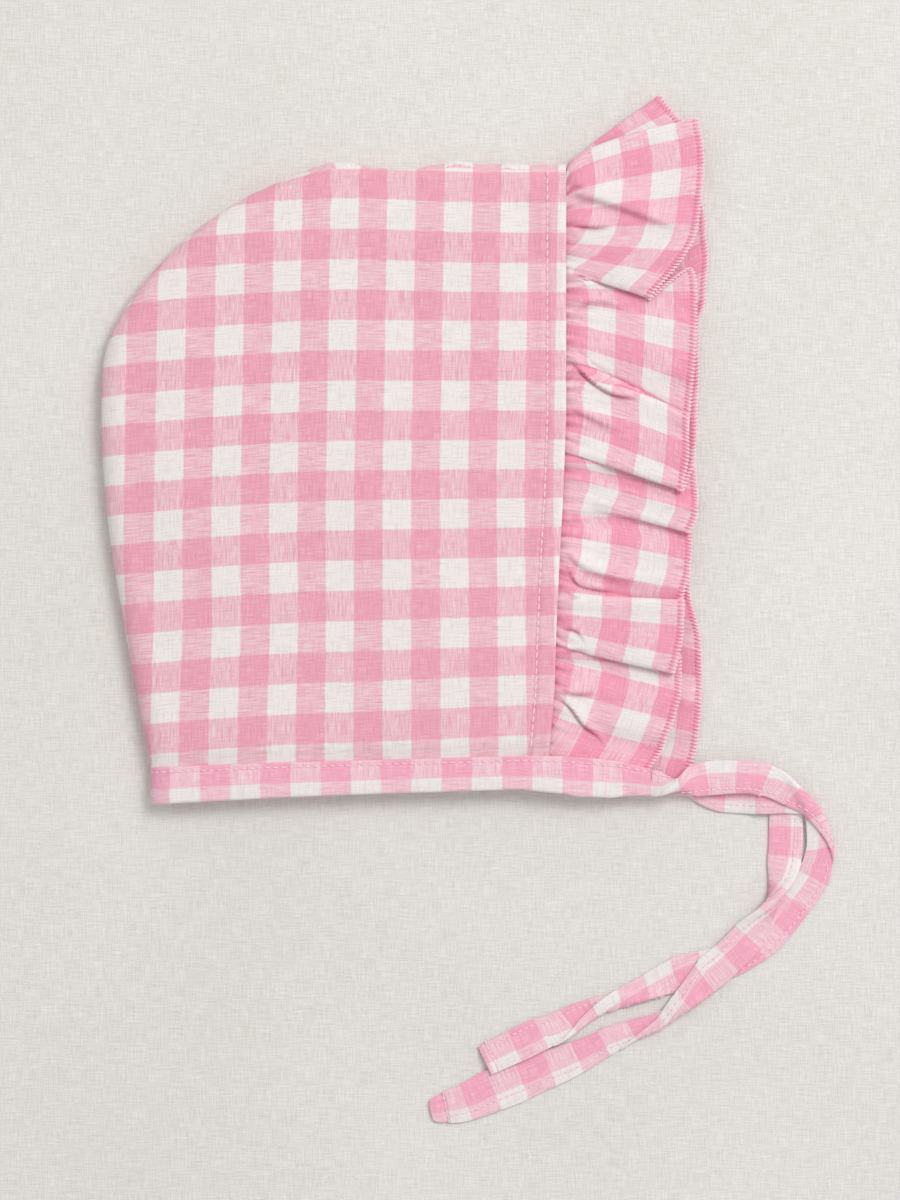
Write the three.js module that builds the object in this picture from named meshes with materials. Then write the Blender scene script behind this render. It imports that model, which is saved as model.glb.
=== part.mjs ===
// A baby's sun bonnet lying on its side: a hood of two panels, a gathered ruffle round the face,
// a folded neck band and two free ties.
// Millimetres, +Z up, +X towards the face and +Y towards the crown.
// The origin is the middle of the hood's outline, on the surface that the bonnet lies on.
import * as THREE from "three";

// Cloth
const CLOTH = 1;                // one wall of the hood or ruffle
const GAP = 0.3;                // clearance between pieces that are sewn together

// Hood
const HOOD_DEPTH = 148;         // back seam to face edge
const HOOD_HEIGHT = 193.5;      // neck line to crown
const HOOD_THICKNESS = 9.6;     // outside of one panel to outside of the other, at their edges
const HOOD_BULGE = 1.3;         // how much higher the upper panel stands in its middle
const SEAM_ROLL = 7;            // width over which a panel turns to meet the seam
const NECK_RISE = 3.7;          // how much higher the neck line is at the face than at the nape
const HEM_WIDTH = 6;            // face edge to its line of stitches

// Ruffle
const RUFFLE_REACH = 43;        // face edge to hem
const RUFFLE_TUCK = 2;          // how far its gathered edge lies inside the hood
const RUFFLE_SHORT = 1.5;       // how far its ends stop short of the band's front ends
const LAYER_PITCH = 2.4;        // from one layer of a fold to the next
const WAVE_HEIGHT = 1.4;        // height of the waves in the half that lies underneath
const HALVES_APART = 0.5;       // clearance between its upper and lower half

// Neck band
const BAND_WIDTH = 11.5;
const BAND_THICKNESS = 2.2;
const BAND_LIP = 0.9;           // thickness of the lip that covers the hood's edge
const BAND_LAP = 2;             // width of that lip
const BAND_DROP = 2;            // how far the upper half sinks towards its front end
const UPPER_BAND_REACH = 27;    // face edge to the front end of the upper half
const LOWER_BAND_REACH = 40;    // face edge to the front end of the lower half

// Ties
const TIE_WIDTH = 10.8;
const TIE_THICKNESS = 1.2;
const RIGHT_TIE_LENGTH = 204;   // from the upper half of the band to the square end
const LEFT_TIE_LENGTH = 192;    // from the lower half of the band to the pinched end
const TIE_PINCH = 0.45;         // share of its width that a tie loses where it stands on edge
const TIE_STEP = 2.5;           // length of one segment
const TIE_LANDING = 0.14;       // share of its length over which the right tie comes down to the surface

// The seam from the nape over the back and crown to the face,
// as shares of the hood's depth from the back and of its height from the neck line
const SEAM_LINE = [
  { across: 0.107, up: 0 },
  { across: 0.089, up: 0.076 },
  { across: 0.045, up: 0.258 },
  { across: 0.015, up: 0.407 },
  { across: 0, up: 0.598 },
  { across: 0.009, up: 0.679 },
  { across: 0.035, up: 0.732 },
  { across: 0.091, up: 0.795 },
  { across: 0.16, up: 0.853 },
  { across: 0.24, up: 0.904 },
  { across: 0.333, up: 0.947 },
  { across: 0.444, up: 0.987 },
  { across: 0.522, up: 1 },
  { across: 0.768, up: 1 },
  { across: 1, up: 0.994 },
];
const CORNER_SHARE = 0.54;      // share of the seam at which the grid of a panel turns its corner
const SEAM_END_SHARE = 0.08;    // share of the seam at each end over which it squares up with the edge there

// How finely the pieces are divided
const PANEL_COLUMNS = 9;
const PANEL_ROWS = 11;
const ROLL_STEPS = 5;
const BAND_STEPS = 20;
const NAPE_STEPS = 10;

// The face edge from the neck to the crown, in the same shares
const FACE_LINE = [
  { up: -0.02, across: 0.96 },
  { up: 0.026, across: 0.964 },
  { up: 0.126, across: 0.975 },
  { up: 0.225, across: 0.979 },
  { up: 0.358, across: 0.987 },
  { up: 0.449, across: 0.994 },
  { up: 0.573, across: 1 },
  { up: 1, across: 1 },
];

// The neck line from the nape to the ends of the band: shares of the hood's depth and of its rise
const NECK_LINE = [
  { across: 0.107, rise: 0 },
  { across: 0.37, rise: 0.43 },
  { across: 0.9, rise: 1 },
  { across: 0.99, rise: 1 },
  { across: 1.06, rise: 0.78 },
  { across: 1.12, rise: 0.5 },
  { across: 1.19, rise: -0.2 },
  { across: 1.3, rise: -1.2 },
];

// The stitched hem's outer side: share of its width from the face edge, and lift as a share of the cloth
const HEM_PROFILE = [
  { inward: 0, lift: 0 },
  { inward: 0.35, lift: 0.3 },
  { inward: 0.8, lift: 0.3 },
  { inward: 1, lift: -0.4 },
  { inward: 1.25, lift: 0 },
  { inward: 2.2, lift: 0 },
];

// The pleats of the ruffle's upper half, from the crown to the neck.
// from and to: the pleat's roots, fanFrom and fanTo: its hem, as shares of the face edge from the crown;
// reachFrom, reachMid and reachTo: its hem as shares of the ruffle's reach;
// head and tail, where it has them: how far it is folded back under itself at its upper and lower side.
const UPPER_PLEATS = [
  { from: 0.045, to: 0.172, fanFrom: -0.074, fanTo: 0.226, reachFrom: 0.978, reachMid: 1.01, reachTo: 0.63,
    head: 0.045, tail: 0.05 },
  { from: 0.212, to: 0.325, fanFrom: 0.245, fanTo: 0.4, reachFrom: 0.97, reachMid: 0.955, reachTo: 0.925 },
  { from: 0.372, to: 0.468, fanFrom: 0.432, fanTo: 0.547, reachFrom: 0.903, reachMid: 0.905, reachTo: 0.866,
    head: 0.03, tail: 0.04 },
  { from: 0.508, to: 0.556, fanFrom: 0.565, fanTo: 0.627, reachFrom: 0.975, reachMid: 0.965, reachTo: 0.918,
    tail: 0.022 },
  { from: 0.6, to: 0.685, fanFrom: 0.65, fanTo: 0.72, reachFrom: 0.93, reachMid: 0.915, reachTo: 0.86 },
  { from: 0.73, to: 0.786, fanFrom: 0.738, fanTo: 0.86, reachFrom: 0.873, reachMid: 0.86, reachTo: 0.8,
    head: 0.025, tail: 0.03 },
  { from: 0.83, to: 0.93, fanFrom: 0.885, fanTo: 0.985, reachFrom: 0.85, reachMid: 0.79, reachTo: 0.7 },
];

// The pleats of its lower half, which is flatter
const LOWER_PLEATS = [
  { from: 0.04, to: 0.15, fanFrom: -0.05, fanTo: 0.06, reachFrom: 0.93, reachMid: 0.97, reachTo: 1 },
  { from: 0.17, to: 0.3, fanFrom: 0.08, fanTo: 0.235, reachFrom: 1.03, reachMid: 1.057, reachTo: 1.03 },
  { from: 0.33, to: 0.47, fanFrom: 0.26, fanTo: 0.47, reachFrom: 0.99, reachMid: 0.985, reachTo: 0.965 },
  { from: 0.5, to: 0.64, fanFrom: 0.5, fanTo: 0.7, reachFrom: 0.95, reachMid: 0.94, reachTo: 0.92 },
  { from: 0.66, to: 0.8, fanFrom: 0.73, fanTo: 0.85, reachFrom: 0.93, reachMid: 1, reachTo: 1.01 },
  { from: 0.83, to: 0.94, fanFrom: 0.87, fanTo: 0.98, reachFrom: 1.015, reachMid: 1, reachTo: 0.97 },
];
// The fold over the crown, where the upper half turns into the lower one
const CROWN_FOLD = { root: 0.006, fan: -0.115, reach: 0.709 };
const BACK_LAYER = { root: 0.014, fan: -0.06, reach: 0.9 };
// Where the ruffle is worked out between its root and its hem
const RUFFLE_ROWS = [0, 0.1, 0.2, 0.3, 0.42, 0.6, 0.8, 1];
const FAN_POWER = 1.5;          // the pleats spread slowly near the root and faster towards the hem
const RISE_SHARE = 0.36;        // share of the reach within which a pleat gains its height
// Heights in layers: where a plain pleat of the upper half meets the next, its crest, and a folded pleat's
const VALLEY = 0.25;
const PLAIN_CREST = 1;
const FOLDED_CREST = 2;

// The ties' routes on the surface, from the band: shares of each tie's length
const RIGHT_TIE_ROUTE = [
  { along: 0, up: 0 },
  { along: 0.012, up: 0 },
  { along: 0.04, up: -0.008 },
  { along: 0.078, up: -0.005 },
  { along: 0.13, up: 0.004 },
  { along: 0.183, up: 0.002 },
  { along: 0.227, up: -0.016 },
  { along: 0.258, up: -0.047 },
  { along: 0.275, up: -0.086 },
  { along: 0.275, up: -0.133 },
  { along: 0.258, up: -0.172 },
  { along: 0.23, up: -0.211 },
  { along: 0.188, up: -0.25 },
  { along: 0.141, up: -0.277 },
  { along: 0.086, up: -0.29 },
  { along: 0.031, up: -0.305 },
  { along: -0.023, up: -0.332 },
  { along: -0.078, up: -0.357 },
  { along: -0.125, up: -0.379 },
  { along: -0.203, up: -0.407 },
  { along: -0.258, up: -0.427 },
];
const LEFT_TIE_ROUTE = [
  { along: 0, up: 0 },
  { along: 0.02, up: 0 },
  { along: 0.05, up: -0.013 },
  { along: 0.1, up: -0.022 },
  { along: 0.138, up: -0.03 },
  { along: 0.158, up: -0.052 },
  { along: 0.163, up: -0.078 },
  { along: 0.16, up: -0.103 },
  { along: 0.155, up: -0.141 },
  { along: 0.136, up: -0.185 },
  { along: 0.111, up: -0.225 },
  { along: 0.075, up: -0.263 },
  { along: 0.037, up: -0.296 },
  { along: -0.003, up: -0.333 },
  { along: -0.047, up: -0.371 },
  { along: -0.083, up: -0.399 },
  { along: -0.125, up: -0.421 },
  { along: -0.183, up: -0.449 },
  { along: -0.25, up: -0.474 },
  { along: -0.316, up: -0.499 },
  { along: -0.374, up: -0.521 },
  { along: -0.424, up: -0.532 },
];
const CLEAR_SHARE = 1.3;        // one tie is fully lifted within this many widths of the other's middle
const END_ROUNDING = 0.03;      // share of its length over which a tie narrows to its end
const SQUARE_END = 1;           // width of the end, as a share of the tie's width
const PINCHED_END = 0.7;
// The stretches, as shares of each tie's length, where the right tie lies over the left one near the band,
// and where the left one lies over the right one further on
const RIGHT_OVER_LEFT = { until: 0.32, leftUntil: 0.25 };
const LEFT_OVER_RIGHT = { from: 0.25, rightFrom: 0.38, rightUntil: 0.7 };

// Half twists: where each starts and ends, as shares of the tie's length
const RIGHT_TIE_TWISTS = [
  { from: 0.012, to: 0.1 },
  { from: 0.27, to: 0.38 },
  { from: 0.86, to: 0.95 },
];
const LEFT_TIE_TWISTS = [
  { from: 0.25, to: 0.35 },
  { from: 0.6, to: 0.7 },
];

// Colours of the cotton
const PANEL_COLOUR = 0xedc4cd;
const TRIM_COLOUR = 0xf6ccda;
const COTTON_ROUGHNESS = 0.9;

// Small helpers
const point = (x, y, z) => new THREE.Vector3(x, y, z);
const mix = THREE.MathUtils.lerp;
const ease = THREE.MathUtils.smoothstep;

// Straight interpolation in a table, from one named column to another
function lookUp(table, column, at, value) {
  const after = table.findIndex((row) => row[column] >= at);
  if (after === 0) return table[0][value];
  if (after < 0) return table[table.length - 1][value];
  const low = table[after - 1];
  const high = table[after];
  return mix(low[value], high[value], (at - low[column]) / (high[column] - low[column]));
}

// 0 at both ends of the range 0 to 1, and 1 in its middle
const hump = (share) => 4 * share * (1 - share);

function evenly(from, to, steps) {
  return Array.from({ length: steps + 1 }, (_, i) => mix(from, to, i / steps));
}

// Places and levels that several pieces share
const SEAM_LEVEL = HOOD_THICKNESS / 2;
const BACK_X = -HOOD_DEPTH / 2;
const FACE_X = HOOD_DEPTH / 2;
const CROWN_Y = (HOOD_HEIGHT + BAND_WIDTH) / 2;
const NECK_Y = CROWN_Y - HOOD_HEIGHT;
const NECK_INSET = BAND_LIP + GAP;
const INSET_FADE = 5;           // height over which the hood steps in under the band's lip

const acrossX = (share) => BACK_X + share * HOOD_DEPTH;
const neckLine = (x) => NECK_Y + NECK_RISE * lookUp(NECK_LINE, "across", (x - BACK_X) / HOOD_DEPTH, "rise");
const neckInset = (x, y) => NECK_INSET * (1 - ease(y - neckLine(x), GAP, GAP + INSET_FADE));
const faceEdgeX = (y) => acrossX(lookUp(FACE_LINE, "up", (y - NECK_Y) / HOOD_HEIGHT, "across"));
const FACE_BOTTOM_Y = neckLine(faceEdgeX(NECK_Y)) - BAND_LAP;
const FACE_TOP_Y = NECK_Y + HOOD_HEIGHT * SEAM_LINE[SEAM_LINE.length - 1].up;

const seamCurve = new THREE.CatmullRomCurve3(
  [
    point(acrossX(SEAM_LINE[0].across), NECK_Y - BAND_LAP, 0),
    ...SEAM_LINE.map((row) => point(acrossX(row.across), NECK_Y + row.up * HOOD_HEIGHT, 0)),
  ],
  false,
  "centripetal",
);

// A wall between an outer and an inner surface that share one list of triangles,
// closed along the edges that belong to one triangle only
function wallGeometry(outer, inner, triangles) {
  const count = outer.length;
  const index = [];
  const open = new Map();
  for (const [a, b, c] of triangles) {
    index.push(a, b, c, count + c, count + b, count + a);
    for (const [from, to] of [[a, b], [b, c], [c, a]]) {
      if (!open.delete(`${to} ${from}`)) open.set(`${from} ${to}`, [from, to]);
    }
  }
  for (const [from, to] of open.values()) {
    index.push(to, from, count + from, to, count + from, count + to);
  }
  const geometry = new THREE.BufferGeometry().setFromPoints([...outer, ...inner]);
  geometry.setIndex(index);
  geometry.computeVertexNormals();
  return geometry;
}

// Triangles of a grid whose columns each hold the same number of points
function gridTriangles(columns, rows, first = 0) {
  const triangles = [];
  for (let i = 0; i + 1 < columns; i++) {
    for (let j = 0; j + 1 < rows; j++) {
      const a = first + i * rows + j;
      const b = a + rows;
      triangles.push([a, b, b + 1], [a, b + 1, a + 1]);
    }
  }
  return triangles;
}

// A closed section carried through a list of places, with flat ends.
// Opposite sides are split along the same diagonal, so that a twisted strip keeps its thickness.
function sweepGeometry(sections, outline) {
  const sides = outline.length;
  const last = (sections.length - 1) * sides;
  const index = [];
  for (let i = 0; i + 1 < sections.length; i++) {
    for (let j = 0; j < sides; j++) {
      const a = i * sides + j;
      const b = i * sides + ((j + 1) % sides);
      if (j < sides / 2) index.push(a, b, b + sides, a, b + sides, a + sides);
      else index.push(a, b, a + sides, b, b + sides, a + sides);
    }
  }
  for (const [a, b, c] of THREE.ShapeUtils.triangulateShape(outline, [])) {
    index.push(c, b, a, last + a, last + b, last + c);
  }
  const geometry = new THREE.BufferGeometry().setFromPoints(sections.flat());
  geometry.setIndex(index);
  geometry.computeVertexNormals();
  return geometry;
}

// Hood panels

// Share of the full height above the seam, and outward direction, at a step round the rolled edge
function rollStep(angle) {
  const high = SEAM_LEVEL - GAP / 2;
  const normal = new THREE.Vector2(Math.cos(angle) / SEAM_ROLL, Math.sin(angle) / high).normalize();
  const inward = SEAM_ROLL * (1 - Math.cos(angle));
  return { inward, rise: high * Math.sin(angle), out: normal.x, up: normal.y };
}

// Direction in plan from the seam into the panel; at the seam's ends it follows the neck line and face edge
function seamInward(share) {
  const tangent = seamCurve.getTangentAt(share);
  const inward = point(tangent.y, -tangent.x, 0);
  const alongNeck = 1 - ease(share, 0, SEAM_END_SHARE);
  const alongFace = ease(share, 1 - SEAM_END_SHARE, 1);
  return inward.lerp(point(1, 0, 0), alongNeck).lerp(point(0, -1, 0), alongFace).normalize();
}

function insideSeam(share, distance) {
  return seamCurve.getPointAt(share).addScaledVector(seamInward(share), distance);
}

// Where the panel's flat part lies in plan: a patch between the rolled seam, the neck edge and the face edge
function patchPoint(u, v) {
  const left = (s) => insideSeam(s * CORNER_SHARE, SEAM_ROLL);
  const top = (s) => insideSeam(mix(CORNER_SHARE, 1, s), SEAM_ROLL);
  const bottomLeft = left(0);
  const bottomRight = point(faceEdgeX(FACE_BOTTOM_Y), FACE_BOTTOM_Y, 0);
  const topRight = top(1);
  const right = (s) => {
    const y = mix(bottomRight.y, topRight.y, s);
    return point(faceEdgeX(y), y, 0);
  };
  const bottom = (s) => {
    const x = mix(bottomLeft.x, bottomRight.x, s);
    return point(x, neckLine(x) - BAND_LAP, 0);
  };
  const across = left(v).lerp(right(v), u);
  const along = bottom(u).lerp(top(u), v);
  const corners = bottom(0).lerp(bottom(1), u).lerp(top(0).lerp(top(1), u), v);
  return across.add(along).sub(corners);
}

// side is 1 for the upper panel and -1 for the lower one
function panelGeometry(side) {
  const patchWidth = HOOD_DEPTH - SEAM_ROLL;
  const hemColumns = HEM_PROFILE.map((row) => 1 - (row.inward * HEM_WIDTH) / patchWidth).reverse();
  const columns = [...evenly(0, hemColumns[0], PANEL_COLUMNS).slice(0, -1), ...hemColumns];
  const neckHeights = [0, BAND_LAP, BAND_LAP + INSET_FADE / 2, BAND_LAP + INSET_FADE];
  const neckRows = neckHeights.map((height) => height / HOOD_HEIGHT);
  const rows = [...neckRows, ...evenly(neckRows[neckRows.length - 1], 1, PANEL_ROWS).slice(1)];
  const outer = [];
  const inner = [];
  const level = (rise) => SEAM_LEVEL + side * (GAP / 2 + rise);
  const put = (plan, rise, lift, outward) => {
    const place = point(plan.x, plan.y, level(rise));
    place.addScaledVector(outward, -neckInset(plan.x, plan.y));
    inner.push(place.clone().addScaledVector(outward, -CLOTH));
    outer.push(place.addScaledVector(outward, lift));
  };
  const top = rollStep(Math.PI / 2);
  for (const u of columns) {
    for (const v of rows) {
      const plan = patchPoint(u, v);
      const bulge = side > 0 ? HOOD_BULGE * hump(u) * hump(v) : 0;
      const hem = lookUp(HEM_PROFILE, "inward", (faceEdgeX(plan.y) - plan.x) / HEM_WIDTH, "lift") * CLOTH;
      const shown = side > 0 ? 1 - neckInset(plan.x, plan.y) / NECK_INSET : 0;
      put(plan, top.rise + bulge, hem * shown, point(0, 0, side));
    }
  }
  const triangles = gridTriangles(columns.length, rows.length);
  const edge = [
    ...rows.map((v, j) => ({ share: v * CORNER_SHARE, vertex: j })),
    ...columns.slice(1).map((u, i) => ({
      share: mix(CORNER_SHARE, 1, u),
      vertex: (i + 1) * rows.length + rows.length - 1,
    })),
  ];
  let before = edge.map((row) => row.vertex);
  for (const angle of evenly(Math.PI / 2, 0, ROLL_STEPS).slice(1)) {
    const step = rollStep(angle);
    const ring = edge.map((row) => {
      const inward = seamInward(row.share);
      const outward = point(-inward.x * step.out, -inward.y * step.out, side * step.up);
      put(insideSeam(row.share, step.inward), step.rise, 0, outward);
      return outer.length - 1;
    });
    for (let m = 0; m + 1 < ring.length; m++) {
      triangles.push([before[m], before[m + 1], ring[m + 1]], [before[m], ring[m + 1], ring[m]]);
    }
    before = ring;
  }
  const facing = side > 0 ? triangles : triangles.map(([a, b, c]) => [a, c, b]);
  return wallGeometry(outer, inner, facing);
}

// Ruffle

// The ruffle's gathered edge inside the hood: share 0 at the seam over the crown, 1 at the neck
function ruffleRoot(side, share) {
  const depth = CLOTH + GAP + CLOTH / 2;
  const roundY = SEAM_ROLL - depth;
  const roundZ = SEAM_LEVEL - depth;
  const roundLength = (Math.PI / 4) * (roundY + roundZ);
  const straightTop = FACE_TOP_Y - SEAM_ROLL;
  const length = share * (roundLength + straightTop - FACE_BOTTOM_Y);
  if (length < roundLength) {
    const angle = ((Math.PI / 2) * length) / roundLength;
    const y = straightTop + roundY * Math.cos(angle);
    return point(FACE_X, y, SEAM_LEVEL + side * roundZ * Math.sin(angle));
  }
  const y = straightTop - (length - roundLength);
  const x = faceEdgeX(y);
  return point(x, y, SEAM_LEVEL + side * (roundZ - neckInset(x, y)));
}

const faceLength = FACE_TOP_Y - FACE_BOTTOM_Y;
const fanY = (fan) => FACE_TOP_Y - fan * faceLength;
const LOWER_LAYER = CLOTH / 2;
const UPPER_LAYER = LOWER_LAYER + WAVE_HEIGHT + CLOTH + HALVES_APART;
const TURN = LAYER_PITCH / 2 / faceLength;
const UNDER_LIP = BAND_LIP + GAP + CLOTH / 2;

// One line from root to hem
function fanRib(root, hem) {
  const outside = RUFFLE_ROWS.map((w) =>
    point(
      mix(root.x, hem.x, w),
      mix(root.y, hem.y, w ** FAN_POWER),
      mix(root.z, hem.z, ease(w, 0, RISE_SHARE)),
    ),
  );
  return { root, outside };
}

// layer counts the layers of a fold upwards from the bottom one
function rib(side, root, fan, reach, layer) {
  const level = side > 0 ? UPPER_LAYER + layer * LAYER_PITCH : LOWER_LAYER + layer * WAVE_HEIGHT;
  return fanRib(ruffleRoot(side, root), point(FACE_X + reach * RUFFLE_REACH, fanY(fan), level));
}

// The ribs of one pleat: an optional fold at its head, its crest, and an optional fold at its tail
function pleatRibs(side, pleat, rootBefore, rootAfter) {
  const { head = 0, tail = 0 } = pleat;
  const crest = head + tail > 0 ? FOLDED_CREST : PLAIN_CREST;
  const valley = side > 0 ? VALLEY : 0;
  const ribs = [];
  const reachAt = (share) =>
    share < 0.5
      ? mix(pleat.reachFrom, pleat.reachMid, share * 2)
      : mix(pleat.reachMid, pleat.reachTo, share * 2 - 1);
  if (head > 0) {
    const inner = pleat.fanFrom + head;
    const fold = [
      { fan: inner - TURN, layer: 0 },
      { fan: inner, layer: 0.5 },
      { fan: (inner + pleat.fanFrom) / 2, layer: 1 },
      { fan: pleat.fanFrom, layer: 1.5 },
    ];
    fold.forEach(({ fan, layer }, i) => {
      const root = mix(rootBefore, pleat.from, (i + 1) / (fold.length + 1));
      ribs.push(rib(side, root, fan, pleat.reachFrom, layer));
    });
    ribs.push(rib(side, pleat.from, pleat.fanFrom + TURN, pleat.reachFrom, crest));
  } else {
    ribs.push(rib(side, pleat.from, pleat.fanFrom, pleat.reachFrom, valley));
  }
  for (const share of [0.25, 0.5, 0.75]) {
    const root = mix(pleat.from, pleat.to, share);
    ribs.push(rib(side, root, mix(pleat.fanFrom, pleat.fanTo, share), reachAt(share), crest));
  }
  if (tail > 0) {
    const inner = pleat.fanTo - tail;
    ribs.push(rib(side, pleat.to, pleat.fanTo - TURN, pleat.reachTo, crest));
    const fold = [
      { fan: pleat.fanTo, layer: 1.5 },
      { fan: (pleat.fanTo + inner) / 2, layer: 1 },
      { fan: inner, layer: 0.5 },
      { fan: inner + TURN, layer: 0 },
    ];
    fold.forEach(({ fan, layer }, i) => {
      const root = mix(pleat.to, rootAfter, (i + 1) / (fold.length + 1));
      ribs.push(rib(side, root, fan, pleat.reachTo, layer));
    });
  } else {
    ribs.push(rib(side, pleat.to, pleat.fanTo, pleat.reachTo, valley));
  }
  return ribs;
}

// The ruffle's end, which lies under the band's lip all the way
function endRib(side, reach) {
  const root = ruffleRoot(side, 1);
  const levelOut = (x) => (side > 0 ? bandTop(x) - UNDER_LIP : UNDER_LIP);
  return {
    root,
    outside: RUFFLE_ROWS.map((w) => {
      const x = mix(root.x, FACE_X + reach, w);
      return point(x, neckLine(x) - BAND_LAP, mix(root.z, levelOut(x), ease(w, 0, RISE_SHARE)));
    }),
  };
}

function halfRuffle(side, pleats, bandReach) {
  const ribs = pleats.flatMap((pleat, i) => {
    const rootBefore = i ? pleats[i - 1].to : BACK_LAYER.root;
    const rootAfter = i + 1 < pleats.length ? pleats[i + 1].from : 1;
    return pleatRibs(side, pleat, rootBefore, rootAfter);
  });
  return [...ribs, endRib(side, bandReach)];
}

// The ribs in order from the neck over the crown to the neck again
function ruffleRibs() {
  const crown = [
    rib(1, -CROWN_FOLD.root, CROWN_FOLD.fan + TURN, CROWN_FOLD.reach, -1),
    rib(1, 0, CROWN_FOLD.fan, CROWN_FOLD.reach, -0.5),
    rib(1, CROWN_FOLD.root, CROWN_FOLD.fan + TURN, CROWN_FOLD.reach, 0),
  ];
  const back = rib(1, BACK_LAYER.root, BACK_LAYER.fan, BACK_LAYER.reach, 0);
  return [
    ...halfRuffle(-1, LOWER_PLEATS, LOWER_BAND_REACH - RUFFLE_SHORT).reverse(),
    ...crown,
    back,
    ...halfRuffle(1, UPPER_PLEATS, UPPER_BAND_REACH - RUFFLE_SHORT),
  ];
}

function ruffleGeometry() {
  const columns = ruffleRibs().map(({ root, outside }) => {
    const tucked = root.clone().setX(root.x - RUFFLE_TUCK);
    return [tucked, ...outside];
  });
  const rows = columns[0].length;
  const outer = [];
  const inner = [];
  columns.forEach((column, i) => {
    column.forEach((place, j) => {
      const next = columns[Math.min(i + 1, columns.length - 1)][j];
      const along = next.clone().sub(columns[Math.max(i - 1, 0)][j]);
      const out = column[Math.min(j + 1, rows - 1)].clone().sub(column[Math.max(j - 1, 0)]);
      const normal = out.cross(along).normalize();
      outer.push(place.clone().addScaledVector(normal, -CLOTH / 2));
      inner.push(place.clone().addScaledVector(normal, CLOTH / 2));
    });
  });
  return wallGeometry(outer, inner, gridTriangles(columns.length, rows));
}

// Neck band

function bandTop(x) {
  return HOOD_THICKNESS - BAND_DROP * ease(x, faceEdgeX(NECK_Y), FACE_X + UPPER_BAND_REACH);
}

// The band runs back along the upper panel, round the nape and forward along the lower panel
function bandSections() {
  const nape = acrossX(SEAM_LINE[0].across);
  const straight = nape + SEAM_ROLL;
  const places = [];
  for (const x of evenly(FACE_X + UPPER_BAND_REACH, straight, BAND_STEPS)) {
    places.push({ x, z: bandTop(x), out: [0, 1] });
  }
  for (const angle of evenly(Math.PI / 2, -Math.PI / 2, NAPE_STEPS).slice(1, -1)) {
    const out = new THREE.Vector2(-Math.cos(angle) / SEAM_ROLL, Math.sin(angle) / SEAM_LEVEL).normalize();
    places.push({
      x: straight - SEAM_ROLL * Math.cos(angle),
      z: SEAM_LEVEL * (1 + Math.sin(angle)),
      out: out.toArray(),
    });
  }
  for (const x of evenly(straight, FACE_X + LOWER_BAND_REACH, BAND_STEPS)) {
    places.push({ x, z: 0, out: [0, -1] });
  }
  return places;
}

// across runs from the band's lower edge to its lip, deep runs inwards from its outer side
const BAND_OUTLINE = [
  { across: 0, deep: 0 },
  { across: BAND_WIDTH, deep: 0 },
  { across: BAND_WIDTH, deep: BAND_LIP },
  { across: BAND_WIDTH - BAND_LAP - GAP, deep: BAND_LIP },
  { across: BAND_WIDTH - BAND_LAP - GAP, deep: BAND_THICKNESS },
  { across: 0, deep: BAND_THICKNESS },
];

function bandGeometry() {
  const sections = bandSections().map(({ x, z, out }) =>
    BAND_OUTLINE.map(({ across, deep }) =>
      point(x - out[0] * deep, neckLine(x) - BAND_WIDTH + across, z - out[1] * deep),
    ),
  );
  return sweepGeometry(sections, BAND_OUTLINE.map((row) => new THREE.Vector2(row.across, row.deep)));
}

// Ties

// Samples of a route at even steps: place in plan, heading and share of the length
function routeSamples(start, route, length) {
  const curve = new THREE.CatmullRomCurve3(
    route.map((row) => point(start.x + row.along * length, start.y + row.up * length, 0)),
    false,
    "centripetal",
  );
  return evenly(0, 1, Math.round(length / TIE_STEP)).map((share) => {
    const tangent = curve.getTangentAt(share);
    return { place: curve.getPointAt(share), left: point(-tangent.y, tangent.x, 0), share };
  });
}

// The angle that a tie has turned about its own length, half a turn in each twist
function rollAt(twists, share) {
  const turned = twists.map(({ from, to }) => THREE.MathUtils.clamp((share - from) / (to - from), 0, 1));
  return Math.PI * turned.reduce((sum, part) => sum + part, 0);
}

// How far one tie is lifted at a place because the other lies under it there
function liftOver(place, below, from, to, height) {
  const near = below
    .filter((sample) => sample.share >= from && sample.share <= to)
    .reduce((least, sample) => Math.min(least, sample.place.distanceTo(place)), Infinity);
  return height * (1 - ease(near, TIE_WIDTH * CLEAR_SHARE, TIE_WIDTH * (1 + CLEAR_SHARE)));
}

function tieGeometry(samples, twists, lift, endWidth) {
  const outline = [
    { side: -0.5, high: -0.5 },
    { side: 0.5, high: -0.5 },
    { side: 0.5, high: 0.5 },
    { side: -0.5, high: 0.5 },
  ];
  const sections = samples.map((sample) => {
    const roll = rollAt(twists, sample.share);
    const onEdge = Math.abs(Math.sin(roll));
    const flat = Math.abs(Math.cos(roll));
    const ending = mix(1, endWidth, ease(sample.share, 1 - END_ROUNDING, 1));
    const width = TIE_WIDTH * (1 - TIE_PINCH * onEdge) * ending;
    const z = lift(sample) + (onEdge * width + flat * TIE_THICKNESS) / 2;
    const wide = sample.left.clone().multiplyScalar(Math.cos(roll)).setZ(Math.sin(roll));
    const thick = sample.left.clone().multiplyScalar(-Math.sin(roll)).setZ(Math.cos(roll));
    return outline.map(({ side, high }) => {
      const middle = sample.place.clone().setZ(z);
      return middle.addScaledVector(wide, side * width).addScaledVector(thick, high * TIE_THICKNESS);
    });
  });
  return sweepGeometry(sections, outline.map((row) => new THREE.Vector2(row.side, row.high)));
}

function tieStart(bandReach) {
  const x = FACE_X + bandReach;
  return point(x + GAP, neckLine(x) - BAND_WIDTH / 2, 0);
}

const rightTiePath = routeSamples(tieStart(UPPER_BAND_REACH), RIGHT_TIE_ROUTE, RIGHT_TIE_LENGTH);
const leftTiePath = routeSamples(tieStart(LOWER_BAND_REACH), LEFT_TIE_ROUTE, LEFT_TIE_LENGTH);

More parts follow.
